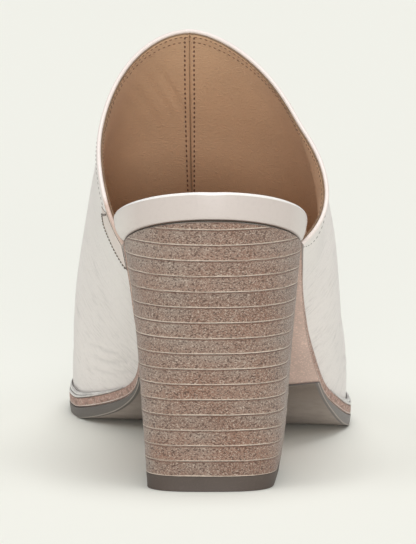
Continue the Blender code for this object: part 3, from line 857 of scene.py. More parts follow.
def midsole_material(name, tone):
    """The midsole's edge: pinkish and gritty, with painted shade at its back where it lies recessed
    under the rand.
    """
    material, tree, shader, place = make_material(name, 0.55, 0.35)
    grit = group_node(tree, shared_group("sanded_grit", sanded_group), place, main=tone,
                      light=toward(tone, (0.9, 0.75, 0.65), 0.6), dark=scaled(tone, 0.35),
                      grit_scale=1300.0, light_grit=0.6, dark_grit=0.55)
    where = node(tree, "ShaderNodeSeparateXYZ")
    tree.links.new(place, where.inputs[0])
    # Painted shade at the back of the edge, with a ragged front
    jitter = noise(tree, place, 400.0, 2.0)
    reach = math_node(tree, "MULTIPLY_ADD", jitter, 0.004, where.outputs["Y"])
    recess_shade = math_node(tree, "SUBTRACT", 1.0, math_node(tree, "DIVIDE", reach, 0.008), clamp=True)
    dark = mix_colours(tree, recess_shade, grit.outputs["Color"], (0.05, 0.038, 0.030))
    tree.links.new(dark, shader.inputs["Base Color"])
    add_bump(tree, shader, grit.outputs["Height"], 0.4, 0.0003)
    return material


def rubber_material(name, tone, painted_light=None):
    """Rubber. painted_light is a paler tone that is painted on as light, the axis along which it
    fades in, and where from and to.
    """
    if made_material(name):
        return made_material(name)
    material, tree, shader, place = make_material(name, 0.55, 0.4)
    tones = group_node(tree, shared_group("mottle", mottle_group), place, main=tone,
                       patch=scaled(tone, 1.2), speck=scaled(tone, 1.5), patch_scale=50.0,
                       patches=0.5, speck_scale=1800.0, specks=0.3)
    colour_out = tones.outputs["Color"]
    if painted_light:
        pale, axis, first, last = painted_light
        where = node(tree, "ShaderNodeSeparateXYZ")
        tree.links.new(place, where.inputs[0])
        rate = 1/(last - first)
        fade = math_node(tree, "MULTIPLY_ADD", where.outputs[axis], rate, -first*rate, clamp=True)
        # The painted light is broken up by noise
        patchy_light = noise(tree, place, 240.0, 4.0, 0.65, (1, 1, 2.2))
        patchy_light = math_node(tree, "MULTIPLY_ADD", patchy_light, 1.3, 0.25, clamp=True)
        colour_out = mix_colours(tree, math_node(tree, "MULTIPLY", fade, patchy_light), colour_out, pale)
    tree.links.new(colour_out, shader.inputs["Base Color"])
    fuzz = noise(tree, place, 2500.0, 2.0)
    add_bump(tree, shader, fuzz, 0.25, 0.0002)
    return material


def thread_material(name, tone):
    if made_material(name):
        return made_material(name)
    material, tree, shader, place = make_material(name, 0.7, 0.3, 0.3)
    tones = group_node(tree, shared_group("mottle", mottle_group), place, main=tone,
                       patch=scaled(tone, 1.4), speck=scaled(tone, 1.8), patch_scale=300.0,
                       patches=0.6, speck_scale=4000.0, specks=0.4)
    tree.links.new(tones.outputs["Color"], shader.inputs["Base Color"])
    twist = noise(tree, place, 4000.0, 1.0)
    add_bump(tree, shader, twist, 0.4, 0.0002)
    return material


# Meshes


def add_piece(name, points, faces, materials, replaces=(), face_materials=None,
              sharp=40, merge=2e-6, crease_shading=None):
    """One finished mesh piece in the frame's own coordinates, riding on the shoe. crease_shading
    tells at each point how far it lies down in a crease, for the painted shade and highlight of the
    creases."""
    mesh = bpy.data.meshes.new(name)
    placed = np.asarray(points, float) - ORIGIN
    mesh.from_pydata([tuple(point) for point in placed.tolist()], [], faces)
    for material in materials:
        mesh.materials.append(material)
    if face_materials is not None:
        mesh.polygons.foreach_set("material_index", np.asarray(face_materials, np.int32))
    if crease_shading is not None:
        layer = mesh.attributes.new("crease_shading", "FLOAT", "POINT")
        layer.data.foreach_set("value", np.asarray(crease_shading, np.float32))
    build = bmesh.new()
    build.from_mesh(mesh)
    bmesh.ops.remove_doubles(build, verts=build.verts, dist=merge)
    bmesh.ops.recalc_face_normals(build, faces=build.faces)
    build.to_mesh(mesh)
    build.free()
    mesh.shade_smooth()
    mesh.set_sharp_from_angle(angle=math.radians(sharp))
    piece = bpy.data.objects.new(name, mesh)
    bpy.context.scene.collection.objects.link(piece)
    finish_piece(piece, replaces)
    return piece


def finish_piece(piece, replaces=()):
    """Fix a piece to the body and hide the nodes it stands for."""
    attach(piece, "root")
    if replaces:
        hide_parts(*replaces)


def grid_faces(rows, columns, first=0, wrap=False):
    """The faces between neighbouring rows of points."""
    faces = []
    for r in range(rows - 1):
        for c in range(columns if wrap else columns - 1):
            d = (c + 1) % columns
            faces.append((first + r*columns + c, first + r*columns + d,
                          first + (r + 1)*columns + d, first + (r + 1)*columns + c))
    return faces


def upper_grid(rows, columns):
    """The upper's outer face from the topline (row 0) to the toe, and each point's normal."""
    t_half = 1 - (1 - np.linspace(0, 1, columns)**1.4)**1.5
    halves = []
    for side in (1, -1):
        start = topline_along(t_half)[None, :]
        share = np.sin(np.pi/2*np.linspace(0, 1, rows))[:, None]
        along = start + (LENGTH - start)*share
        halves.append(section(along, side, np.broadcast_to(t_half[None, :], along.shape)))
    grid = np.concatenate((halves[0], halves[1][:, -2::-1]), axis=1)
    down = np.gradient(grid, axis=0)
    across = np.gradient(grid, axis=1)
    normal = np.cross(across, down)
    size = np.linalg.norm(normal, axis=-1, keepdims=True)
    normal = normal / np.maximum(size, 1e-12)
    normal[-1] = (0.0, 1.0, 0.0)
    middle = normal[rows//3, columns - 1]
    if middle[2] < 0:
        normal = -normal
        normal[-1] = (0.0, 1.0, 0.0)
    return grid, normal


def crease_depth(grid):
    """How deep the creases go at each point of the outer face."""
    depth = np.zeros(grid.shape[:2])
    for crease in CREASES:
        beside = grid[..., 0]*crease.side > 0
        tilt = math.radians(crease.tilt)
        y = grid[..., 1] - crease.along
        z = grid[..., 2] - crease.up
        run = y*math.cos(tilt) + z*math.sin(tilt)
        off = -y*math.sin(tilt) + z*math.cos(tilt)
        off = off + CREASE_WAVER*np.sin(run*CREASE_WAVER_RATE)
        shape = 1.3*np.exp(-(off/crease.half_width)**2)
        shape = shape - 0.5*np.exp(-(off/crease.half_width/2.2)**2)
        fade = np.exp(-(run/crease.half_length)**4)
        depth += np.where(beside, crease.depth*shape*fade, 0)
    return depth


def shell_piece(name, outer, inner, rolled, materials, replaces=(), seam=False,
                crease_shading=None):
    """A closed shell: an outer and an inner face joined round a rolled edge and at the foot. The
    second material is for the rolled edge, the third for painted shade along a seam down the inner
    face."""
    rows, columns = outer.shape[:2]
    rings = [*outer[::-1], *rolled, *inner]
    points = np.concatenate([np.asarray(ring).reshape(-1, 3) for ring in rings])
    faces = grid_faces(len(rings), columns)
    edge_rows = range(rows - 1, rows + len(rolled))
    kinds = [int(face[0]//columns in edge_rows) for face in faces]
    if seam:
        middle = (columns//2 - 1, columns//2)
        for number, face in enumerate(faces):
            if face[0]//columns >= edge_rows.stop and face[0] % columns in middle:
                kinds[number] = 2
    count = len(rings)
    for c in (0, columns - 1):
        for r in range(rows - 1):
            a, b = r*columns + c, (r + 1)*columns + c
            e, f = (count - 1 - r)*columns + c, (count - 2 - r)*columns + c
            faces.append((a, b, f, e))
        rim = [r*columns + c for r in range(rows - 1, count - rows + 1)]
        if len(rim) > 2:
            faces.append(tuple(rim))
    kinds += [0]*(len(faces) - len(kinds))
    if crease_shading is not None:
        plain = np.zeros(len(points) - crease_shading.size)
        crease_shading = np.concatenate((crease_shading[::-1].ravel(), plain))
    return add_piece(name, points, faces, materials, replaces, kinds, sharp=60,
                     crease_shading=crease_shading)


def make_upper():
    """The outer leather folded over at the topline, and the lining inside it."""
    size, tone = sizes(), colours()
    rows, columns = size.rows, size.columns
    grid, normal = upper_grid(rows, columns)
    creases = crease_depth(grid)
    grid = grid - normal*creases[..., None]
    edge = grid[0] - grid[1]
    edge = edge / np.linalg.norm(edge, axis=-1, keepdims=True)
    radius = size.leather / 2
    rolled = []
    for angle in np.linspace(0, math.pi, 9)[1:-1]:
        rolled.append(grid[0] - normal[0]*radius*(1 - math.cos(angle))
                      + edge*radius*math.sin(angle))
    leather = upper_material("cream_leather", tuple(tone.cream))
    folded = leather_material("folded_edge", toward(tone.cream, (0.80, 0.66, 0.60), 0.35),
                              toward(tone.cream, (0.72, 0.60, 0.54), 0.5), 0.45, 0.16, 0.35)
    pink_wing(folded, (0.60, 0.455, 0.385))
    # The creases' depth drives their painted shade and highlight
    shell_piece("upper_leather", grid, grid - normal*size.leather, rolled, [leather, folded],
                ["upper"], crease_shading=creases/CREASE_FULL_DEPTH)
    make_lining(grid, normal, edge)


def lining_face(grid, normal):
    """The lining's inner face, with its centre seam and its soft folds."""
    size = sizes()
    columns = grid.shape[1]
    ridge = grid[:, columns//2][:, None]
    across = np.linalg.norm(grid - ridge, axis=-1)
    deep = 0.6 + 0.8*smooth(0.10, 0.14, grid[..., 1])
    groove = SEAM_GROOVE_DEPTH*np.exp(-(across/SEAM_GROOVE_WIDTH)**2)
    raised = SEAM_EDGE_HEIGHT*np.exp(-((across - SEAM_EDGE_OFF)/SEAM_EDGE_WIDTH)**2)
    relief = (groove - raised)*deep
    for fold in LINING_FOLDS:
        x = grid[..., 0] - fold.across
        z = grid[..., 2] - fold.up
        tilt = math.radians(fold.tilt)
        run = x*math.cos(tilt) + z*math.sin(tilt)
        off = z*math.cos(tilt) - x*math.sin(tilt)
        bend = off + 0.12*run**2/fold.half_length
        shape = np.exp(-(bend/fold.half_width)**2)*np.exp(-(run/fold.half_length)**2)
        relief += np.where(grid[..., 1] > THROAT_ALONG*0.9, fold.depth*shape, 0)
    return grid - normal*(size.leather + LINING_GAP + size.lining - relief[..., None])


def make_lining(grid, normal, edge):
    """The lining inside the outer leather."""
    size, tone = sizes(), tuple(colours().lining)
    outer = grid - normal*(size.leather + LINING_GAP) + edge[None]*0.00005
    inner = lining_face(grid, normal)
    rim = inner[0]*0.5 + outer[0]*0.5 + edge*0.00035
    cut_edge = plain_edge_material("lining_cut_edge", scaled(tone, 0.42), scaled(tone, 0.30),
                                   scaled(tone, 0.9), 0.7, 0.3)
    # Painted shade in the centre seam's groove
    fold = plain_edge_material("lining_seam", scaled(tone, 0.30), scaled(tone, 0.42), tone, 0.7, 0.2)
    shell_piece("upper_lining", outer, inner, [rim], [lining_material(), cut_edge, fold],
                seam=True)


def lining_material():
    """The tan leather of the lining."""
    tone = colours()
    return leather_material("tan_lining", tuple(tone.lining), scaled(tone.lining, 0.86), 0.5,
                            0.42, 1.3, sheen=0.1, wrinkle_scale=720.0)


def slab_rings(medial, lateral, columns, lower, upper, stations, hollow=None):
    """Rings round every rib: under it, up the lateral side, back over it, down the medial side.
    hollow is where the slab starts and how far its start is hollowed in the middle."""
    across = np.linspace(-1, 1, columns + 1)[None, :, None]
    share = (across + 1) / 2
    under = medial[:, :1] + (lateral[:, :1] - medial[:, :1])*share
    over = medial[:, -1:] + (lateral[:, -1:] - medial[:, -1:])*share
    if hollow:
        fade = np.clip(1 - (np.asarray(stations) - hollow[0])/(6*hollow[1]), 0, 1)
        shift = hollow[1]*fade[:, None]*(1 - across[:, :, 0]**2)
        under[..., 1] += shift
        over[..., 1] += shift
    inner = slice(1, columns)
    under[:, inner, 2] = lower(under[:, inner, 0], under[:, inner, 1], across[:, inner, 0])
    over[:, inner, 2] = upper(over[:, inner, 0], over[:, inner, 1], across[:, inner, 0])
    return np.concatenate((under, lateral[:, 1:-1], over[:, ::-1], medial[:, -2:0:-1]), axis=1)


def slab_piece(name, stations, edge, lower, upper, columns, materials, replaces,
               capped=False, sharp=40, trim=(), hollow=None):
    """A slab lofted through ribs. The materials are for its side, its top, its underside and
    those bands of its side, counted from the bottom, that trim names."""
    medial = np.array([edge(along, -1) for along in stations])
    lateral = np.array([edge(along, 1) for along in stations])
    rings = slab_rings(medial, lateral, columns, lower, upper, stations, hollow)
    stops, count = rings.shape[:2]
    side_count = medial.shape[1]
    faces = grid_faces(stops, count, wrap=True)
    kinds = []
    for face in faces:
        c = face[0] % count
        lateral_band = c - columns
        medial_band = 2*columns + 2*side_count - 3 - c
        if c < columns:
            kinds.append(2)
        elif side_count - 1 <= lateral_band < columns + side_count - 1:
            kinds.append(1)
        else:
            band_number = lateral_band if lateral_band < side_count - 1 else medial_band
            kinds.append(3 if band_number in trim else 0)
    if capped:
        faces.append(tuple(range(count)))
        kinds.append(0)
    kinds = [min(kind, len(materials) - 1) for kind in kinds]
    return add_piece(name, rings.reshape(-1, 3), faces, materials, replaces, kinds, sharp)


# The rand's side from its lower edge up, as shares of its flare and its thickness
RAND_SIDE = [
    (-0.60, -0.01), (-0.25, 0.00), (0.00, 0.02), (0.20, 0.07), (0.40, 0.16), (0.62, 0.28),
    (0.80, 0.42), (0.93, 0.58), (1.00, 0.74), (1.02, 0.86), (0.98, 0.92), (0.88, 0.97),
    (0.70, 1.005), (0.40, 1.02), (0.00, 1.02), (-0.45, 1.00),
]


def make_footbed():
    """The board under the sock, its thick back edge wrapped in the rand leather, with a painted
    highlight along the rand's top edge and on its ends.
    """
    tone = colours()

    def thick(along):
        share = flow(FOOTBED, "thick", along / LENGTH)
        return FOOTBED_THICK + (RAND_THICK - FOOTBED_THICK)*share

    def edge(along, side):
        if along >= LENGTH:
            side = 1
        point, out = rail(along, side)
        name = "lateral" if side > 0 else "medial"
        flare = RAND_FLARE * float(flow(FOOTBED, "flare_" + name, along / LENGTH))
        inside = float(flow(FOOTBED, "inside", along / LENGTH))
        room = RAND_FLARE * float(flow(FOOTBED, "room", along / LENGTH))
        spare = FOOTBED_TOE_SPARE * max(0.0, 1 - (LENGTH - along)/TOE_CAP_ROUND)
        place = min(max(along, WING_ALONG), LENGTH*TOE_TIP_SHARE)
        rows = []
        for swell, up in RAND_SIDE:
            height = GAP + up*thick(along)
            open_reach = flare*swell - RAND_TUCK
            if swell < 0:
                open_reach = -RAND_TUCK + swell*0.0012
            lean = wall_lean(place, side, up*thick(along))
            shut_reach = lean*FOOTBED_LEAN - WALL - FOOTBED_CLEAR - GAP - spare
            shut_reach = min(shut_reach, open_reach + room)
            reach = open_reach + (shut_reach - open_reach)*inside
            x, y = point + out*reach
            rows.append(np.array([x, y, float(level(x, y, height))]))
        return rows

    def lower(x, y, across):
        return level(x, y, GAP)

    def upper(x, y, across):
        cup = FOOTBED_CUP * (1 - across**2)
        return level(x, y, GAP + thick(station(x, y)) - cup)

    rand = leather_material("rand_leather", tuple(tone.rand), scaled(tone.rand, 0.95), 0.38,
                            0.10, 0.3, coat=0.15)
    # Painted highlight on the rand's ends
    paint_end_highlights(rand, (0.80, 0.775, 0.74), 0.023, 0.033, 0.8)
    sock = lining_material()
    # Painted highlight along the rand's rounded top edge
    rim_highlight = leather_material("rand_rim_highlight", toward(tuple(tone.rand), (0.95, 0.94, 0.92), 0.85),
                              (0.92, 0.90, 0.88), 0.35, 0.08, 0.2, coat=0.2)
    slab_piece("footbed_wrapped", crowd(0, LENGTH, 130, True, True), edge, lower, upper, 12,
               [rand, sock, sock, rim_highlight], ["footbed"], sharp=50, trim=(10, 11, 12))


def make_midsole():
    """The leather midsole: a pale line runs under its speckled edge, its waist is bare."""
    tone = colours()
    profile = [(-0.30, 1.0), (-0.12, 0.97), (-0.10, 0.86), (-0.22, 0.83), (-0.12, 0.78),
               (0.0, 0.50), (0.0, 0.06), (-0.12, 0.0)]

    def edge(along, side):
        point, out = rail(along, side)
        rows = []
        for dip, share in profile:
            x, y = point + out*(sole_reach(along) + dip*0.001)
            thick = float(midsole_thick(station(x, y)))
            rows.append(np.array([x, y, float(level(x, y, -thick*share))]))
        return rows

    def lower(x, y, across):
        return level(x, y, -midsole_thick(station(x, y)))

    def upper(x, y, across):
        return level(x, y, 0)

    side = midsole_material("midsole_edge", tuple(tone.edge))
    under = plain_edge_material("waist_leather", tuple(tone.waist), scaled(tone.waist, 0.84),
                                scaled(tone.waist, 1.3), 0.65, 0.7, bump=0.8)
    pale = plain_edge_material("midsole_line", toward(tuple(tone.edge), (0.85, 0.80, 0.74), 0.7),
                               tuple(tone.edge), (0.9, 0.86, 0.8), 0.5, 0.5)
    slab_piece("midsole_leather", crowd(0, LENGTH, 120, True, True), edge, lower, upper, 10,
               [side, under, under, pale], ["midsole"], sharp=50, trim=(1, 2))


def make_outsole():
    """The rubber forepart, its pale lower corner crisp, its back edge a shallow arc."""
    tone = colours()
    profile = [(1.0, 0.0013), (1.0, 0.0005), (0.985, 0.0003), (0.93, 0.0002), (0.60, 0.0001),
               (0.08, 0.0), (0.0, 0.0002)]

    def depth(x, y, share):
        along = station(x, y)
        thin = 0.25 + 0.75*smooth(0, 0.014, along - OUTSOLE_ALONG)
        return -midsole_thick(along) - GAP - outsole_thick(along)*share*thin

    def edge(along, side):
        point, out = rail(along, side)
        rows = []
        for share, tuck in profile:
            x, y = point + out*(sole_reach(along)*(1 - OUTSOLE_TAPER*share) - tuck)
            rows.append(np.array([x, y, float(level(x, y, depth(x, y, share)))]))
        return rows

    def lower(x, y, across):
        return level(x, y, depth(x, y, 1))

    def upper(x, y, across):
        return level(x, y, depth(x, y, 0))

    # Painted sheen on the side, paler towards the lateral edge
    rubber = rubber_material("edge_rubber", tuple(tone.rubber_edge),
                             (toward(tone.rubber_edge, (0.42, 0.39, 0.39), 0.38), "X", 0.020, 0.045))
    # Painted light from the floor on the tread, paler towards the floor
    tread = rubber_material("tread_rubber", tuple(tone.tread),
                            (toward(tone.tread, (0.62, 0.54, 0.49), 0.75), "Z", 0.018, 0.001))
    pale = rubber_material("corner_rubber", toward(scaled(tone.tread, 2.0), (0.4, 0.38, 0.36), 0.5))
    slab_piece("outsole_rubber", crowd(OUTSOLE_ALONG, LENGTH, 100, False, True), edge, lower,
               upper, 14, [rubber, rubber, tread, pale], ["outsole"], capped=True,
               sharp=50, trim=(1, 2), hollow=(OUTSOLE_ALONG, OUTSOLE_HOLLOW))


# The welt's section, from its inner lower corner round, as shares of its reach and its height
WELT_SIDE = [
    (0.00, 0.00), (0.97, 0.00), (1.04, 0.08), (1.06, 0.22), (1.01, 0.34), (0.92, 0.42),
    (0.80, 0.42), (0.72, 0.36), (0.70, 0.48), (0.76, 0.62), (0.74, 0.80), (0.62, 0.96),
    (0.42, 1.06), (0.22, 1.02), (0.00, 0.92),
]

# The bands of that section that carry painted shade: the groove between the lobes and the crevice at
# the inner upper edge
WELT_SHADED_BANDS = (6, 7, 13)


def make_welt():
    """The pearly strip round the forepart, with painted shade in a groove along it, fading out at
    the waist.
    """
    tone = colours()
    outer = [(a, 1) for a in crowd(WELT_LATERAL_ALONG, LENGTH, 90, False, True)]
    inner = [(a, -1) for a in crowd(WELT_MEDIAL_ALONG, LENGTH, 90, False, True)]
    points, rings = [], 0
    for along, side in outer + inner[-2::-1]:
        first = WELT_LATERAL_ALONG if side > 0 else WELT_MEDIAL_ALONG
        fade = min(1.0, (along - first)/WELT_FADE)
        height = WELT_HEIGHT * (WELT_END_SHARE + (1 - WELT_END_SHARE)*fade)
        point, out = rail(along, side)
        reach = sole_reach(along)
        lean = wall_lean(min(along, LENGTH*TOE_TIP_SHARE), side, height)
        for share, up in WELT_SIDE:
            start = GAP + max(lean, 0)*up
            x, y = point + out*(start + max(reach - start, WELT_LEAST)*share)
            points.append((x, y, float(level(x, y, GAP + height*up))))
        rings += 1
    count = len(WELT_SIDE)
    faces = grid_faces(rings, count, wrap=True)
    faces.append(tuple(range(count)))
    faces.append(tuple(range((rings - 1)*count + count - 1, (rings - 1)*count - 1, -1)))
    material, tree, shader, place = make_material("welt_leather", 0.30, 0.7, 0.0, 0.5)
    tones = group_node(tree, shared_group("mottle", mottle_group), place, main=tuple(tone.welt),
                       patch=scaled(tone.welt, 1.5), speck=scaled(tone.welt, 0.55),
                       patch_scale=160.0, patches=0.9, speck_scale=900.0, specks=0.35)
    tree.links.new(tones.outputs["Color"], shader.inputs["Base Color"])
    add_bump(tree, shader, noise(tree, place, 420.0, 3.0, 0.5, (1, 1, 2.5)), 0.35, 0.0006)
    # Painted shade for the groove and the inner crevice
    dark = plain_edge_material("welt_groove_shade", scaled(tone.welt, 0.30), scaled(tone.welt, 0.5),
                               scaled(tone.welt, 0.9), 0.6, 0.5)
    kinds = [int(face[0] % count in WELT_SHADED_BANDS) for face in faces[:(rings - 1)*count]] + [0, 0]
    add_piece("welt_strip", points, faces, [material, dark], ["welt"], kinds,
              sharp=50)


def heel_outline(height, swell=0.0, count=72):
    """The heel's outline at a height, let out by swell."""
    at = height / SEAT_HEIGHT
    half = HEEL_HALF_WIDTH * float(flow(HEEL, "half", at)) + swell
    back = HEEL_DEPTH * float(flow(HEEL, "back", at)) - swell
    front = HEEL_DEPTH * float(flow(HEEL, "front", at)) + swell
    rounding = HEEL_DEPTH * float(flow(HEEL, "round", at)) + swell
    power = float(flow(HEEL, "power", at))
    turn = float(flow(HEEL, "turn", at))
    centre = float(flow(HEEL, "across", at))
    outline = []
    for angle in np.linspace(0, np.pi, count):
        x = np.sign(np.cos(angle)) * abs(np.cos(angle))**(2/power)
        y = 1 - abs(np.sin(angle))**(2/power)
        outline.append((half*x, back + rounding*y))
    for share in np.linspace(-1, 1, 13):
        outline.append((half*share, front - BREAST_HOLLOW*(1 - share**2)))
    return [(centre + x + turn*(y - HEEL_CENTRE_ALONG), y, height) for x, y in outline]


def seat_cutter():
    """What lies over the heel's seat."""
    wide = HEEL_HALF_WIDTH * 1.5
    columns = np.linspace(-wide, wide, 25)
    points = []
    stations = np.linspace(-HEEL_DEPTH*0.5, HEEL_DEPTH*1.5, 80)
    for y in stations:
        along = max(y, 0.0)
        depth = float(midsole_thick(along)) + GAP*0.5
        points += [(x, y, float(level(x, along, -depth))) for x in columns]
        points += [(x, y, SEAT_HEIGHT*1.5) for x in columns[::-1]]
    count = 2*len(columns)
    faces = grid_faces(len(stations), count, wrap=True)
    faces.append(tuple(range(count)))
    faces.append(tuple(range(len(points) - 1, len(points) - count - 1, -1)))
    mesh = bpy.data.meshes.new("seat_cutter")
    mesh.from_pydata((np.array(points) - ORIGIN).tolist(), [], faces)
    build = bmesh.new()
    build.from_mesh(mesh)
    bmesh.ops.recalc_face_normals(build, faces=build.faces)
    build.to_mesh(mesh)
    build.free()
    cutter = bpy.data.objects.new("seat_cutter", mesh)
    bpy.context.scene.collection.objects.link(cutter)
    return cutter


def make_heel():
    """The stack of leather lifts, each a little proud at its joins, and the rubber top lift."""
    tone = colours()
    stack = stack_material("stacked_leather", tuple(tone.stack))
    rubber = rubber_material("taupe_rubber", tuple(tone.rubber))
    cutter = seat_cutter()
    lowest_seat = float(bed(HEEL_DEPTH*HEEL[-1].front)) - MIDSOLE_THICK*2
    for number in range(LIFTS + 1):
        low = number * LIFT_PITCH
        high = (number + 1) * LIFT_PITCH
        name = "stack_lift_%02d" % number if number else "stack_top_lift"
        node_name = "heel_lift_%02d" % number if number else "top_lift"
        rings = []
        for share, swell in ((0.0, -0.00025), (0.02, 0.00004), (0.10, 0.0), (0.5, -0.00006),
                             (0.90, 0.0), (0.98, 0.00004), (1.0, -0.00025)):
            rings.append(heel_outline(low + (high - low)*share, swell))
        count = len(rings[0])
        faces = grid_faces(len(rings), count, wrap=True)
        faces.append(tuple(range(count)))
        faces.append(tuple(range(len(rings)*count - 1, (len(rings) - 1)*count - 1, -1)))
        points = [point for ring in rings for point in ring]
        lift = add_piece(name, points, faces, [stack if number else rubber], [node_name],
                         sharp=35, merge=1e-6)
        if high > lowest_seat:
            cut_with(lift, cutter)
    bpy.data.objects.remove(cutter)


def cut_with(piece, cutter):
    """Cut a piece with the solid that stands for the seat."""
    cut = piece.modifiers.new("seat", "BOOLEAN")
    cut.operation = "DIFFERENCE"
    cut.solver = "EXACT"
    cut.object = cutter
    bpy.context.view_layer.update()
    result = bpy.data.meshes.new_from_object(
        piece.evaluated_get(bpy.context.evaluated_depsgraph_get()))
    piece.modifiers.remove(cut)
    piece.data = result
    if not len(result.polygons):
        raise RuntimeError("the seat left nothing of " + piece.name)


# Stitching


def stitch_tree(material):
    """Stitches along a path: one rounded stitch at each pitch, turned along the path."""
    tree = bpy.data.node_groups.new("stitch_row", "GeometryNodeTree")
    tree.is_modifier = True
    group_sockets(tree, [("Geometry", "NodeSocketGeometry", None),
                         ("Pitch", "NodeSocketFloat", 0.0023),
                         ("Stitch Length", "NodeSocketFloat", 0.0016),
                         ("Thread", "NodeSocketFloat", 0.0004)],
                  [("Geometry", "NodeSocketGeometry")])
    links = tree.links
    start = node(tree, "NodeGroupInput")
    end = node(tree, "NodeGroupOutput")
    curve = node(tree, "GeometryNodeMeshToCurve")
    resample = node(tree, "GeometryNodeResampleCurve", mode="LENGTH")
    tangent = node(tree, "GeometryNodeInputTangent")
    align = node(tree, "FunctionNodeAlignEulerToVector", axis="X")
    ball = node(tree, "GeometryNodeMeshUVSphere")
    ball.inputs["Segments"].default_value = 8
    ball.inputs["Rings"].default_value = 5
    ball.inputs["Radius"].default_value = 0.5
    size = node(tree, "ShaderNodeCombineXYZ")
    place = node(tree, "GeometryNodeInstanceOnPoints")
    real = node(tree, "GeometryNodeRealizeInstances")
    paint = node(tree, "GeometryNodeSetMaterial")
    paint.inputs["Material"].default_value = material
    links.new(start.outputs["Geometry"], curve.inputs["Mesh"])
    links.new(curve.outputs["Curve"], resample.inputs["Curve"])
    links.new(start.outputs["Pitch"], resample.inputs["Length"])
    links.new(tangent.outputs["Tangent"], align.inputs["Vector"])
    links.new(start.outputs["Stitch Length"], size.inputs["X"])
    links.new(start.outputs["Thread"], size.inputs["Y"])
    links.new(start.outputs["Thread"], size.inputs["Z"])
    links.new(resample.outputs["Curve"], place.inputs["Points"])
    links.new(ball.outputs["Mesh"], place.inputs["Instance"])
    links.new(align.outputs["Rotation"], place.inputs["Rotation"])
    links.new(size.outputs["Vector"], place.inputs["Scale"])
    links.new(place.outputs["Instances"], real.inputs["Geometry"])
    links.new(real.outputs["Geometry"], paint.inputs["Geometry"])
    links.new(paint.outputs["Geometry"], end.inputs["Geometry"])
    return tree


def stitch_row(name, paths, material, pitch, length, thread):
    """One piece for all the stitches along the given paths."""
    points, edges = [], []
    for path in paths:
        first = len(points)
        points += (np.asarray(path) - ORIGIN).tolist()
        edges += [(first + i, first + i + 1) for i in range(len(path) - 1)]
    mesh = bpy.data.meshes.new(name)
    mesh.from_pydata(points, edges, [])
    piece = bpy.data.objects.new(name, mesh)
    bpy.context.scene.collection.objects.link(piece)
    tree = stitch_tree(material)
    modifier = piece.modifiers.new("stitches", "NODES")
    modifier.node_group = tree
    inputs = {item.name: item.identifier for item in tree.interface.items_tree
              if item.item_type == "SOCKET" and item.in_out == "INPUT"}
    modifier[inputs["Pitch"]] = pitch
    modifier[inputs["Stitch Length"]] = length
    modifier[inputs["Thread"]] = thread
    bpy.context.view_layer.update()
    result = bpy.data.meshes.new_from_object(
        piece.evaluated_get(bpy.context.evaluated_depsgraph_get()))
    piece.modifiers.remove(modifier)
    piece.data = result
    if not len(result.polygons):
        raise RuntimeError("no stitches were made for " + name)
    result.shade_smooth()
    finish_piece(piece)
    return piece


def surface_point(surface, r, c):
    """A point between the rows and columns of a face."""
    rows, columns = surface.shape[:2]
    r0 = min(int(r), rows - 2)
    c0 = min(int(c), columns - 2)
    u, v = r - r0, c - c0
    near = surface[r0, c0]*(1 - v) + surface[r0, c0 + 1]*v
    far = surface[r0 + 1, c0]*(1 - v) + surface[r0 + 1, c0 + 1]*v
    return near*(1 - u) + far*u


def edge_path(surface, inset, first, last):
    """A path at a distance from the topline, between two shares of the way round."""
    columns = surface.shape[1]
    path = []
    for c in np.linspace(first, last, 300)*(columns - 1):
        step = np.linalg.norm(surface_point(surface, 1, c) - surface_point(surface, 0, c))
        path.append(surface_point(surface, inset/step, c))
    return path


def seam_path(surface, offset, last_along):
    """A path beside the centre seam, from the topline into the shoe."""
    middle = surface.shape[1]//2
    path = []
    for r in range(1, surface.shape[0]):
        if surface[r, middle, 1] > last_along:
            break
        reach, c = 0.0, middle
        step = 1 if offset > 0 else -1
        while reach < abs(offset):
            add = np.linalg.norm(surface[r, c + step] - surface[r, c])
            if reach + add >= abs(offset):
                part = (abs(offset) - reach)/add
                path.append(surface[r, c]*(1 - part) + surface[r, c + step]*part)
            reach += add
            c += step
    return path


# The patch over the inner wing's end, from the feather line up: how far up it, as a share of the
# patch's height, and where its forward edge runs, as a distance along the last
Patch = namedtuple("Patch", "along forward")
PATCH = [
    Patch(0.00, 0.0500),
    Patch(0.35, 0.0530),
    Patch(0.60, 0.0550),
    Patch(0.85, 0.0575),
    Patch(1.00, 0.0515),
]
PATCH_TOP_BACK = 0.116
PATCH_TOP_FRONT = 0.177
PATCH_THICK = 0.00035

# The outer stitch row: its distance behind the topline for shares of the way up to the ridge
Row = namedtuple("Row", "along inset")
OUTER_ROW = [
    Row(0.000, 0.0016),
    Row(0.015, 0.0042),
    Row(0.040, 0.0068),
    Row(0.070, 0.0078),
    Row(0.110, 0.0074),
    Row(0.200, 0.0052),
    Row(0.400, 0.0034),
    Row(0.700, 0.0026),
    Row(1.000, 0.0024),
]


def patch_point(forward, up):
    """A point of the patch at shares of its width and height, and the face's normal there."""
    t = up*(PATCH_TOP_BACK + (PATCH_TOP_FRONT - PATCH_TOP_BACK)*forward)
    start = float(topline_along(t)) + 0.0004
    along = start + (float(flow(PATCH, "forward", up)) - start)*forward
    step = 0.0004
    point = section(along, -1, t)
    ahead = section(along + step, -1, t) - point
    above = section(along, -1, t + 0.004) - point
    normal = np.cross(ahead, above)
    normal = normal / np.linalg.norm(normal)
    return point, normal if normal[0] < 0 else -normal


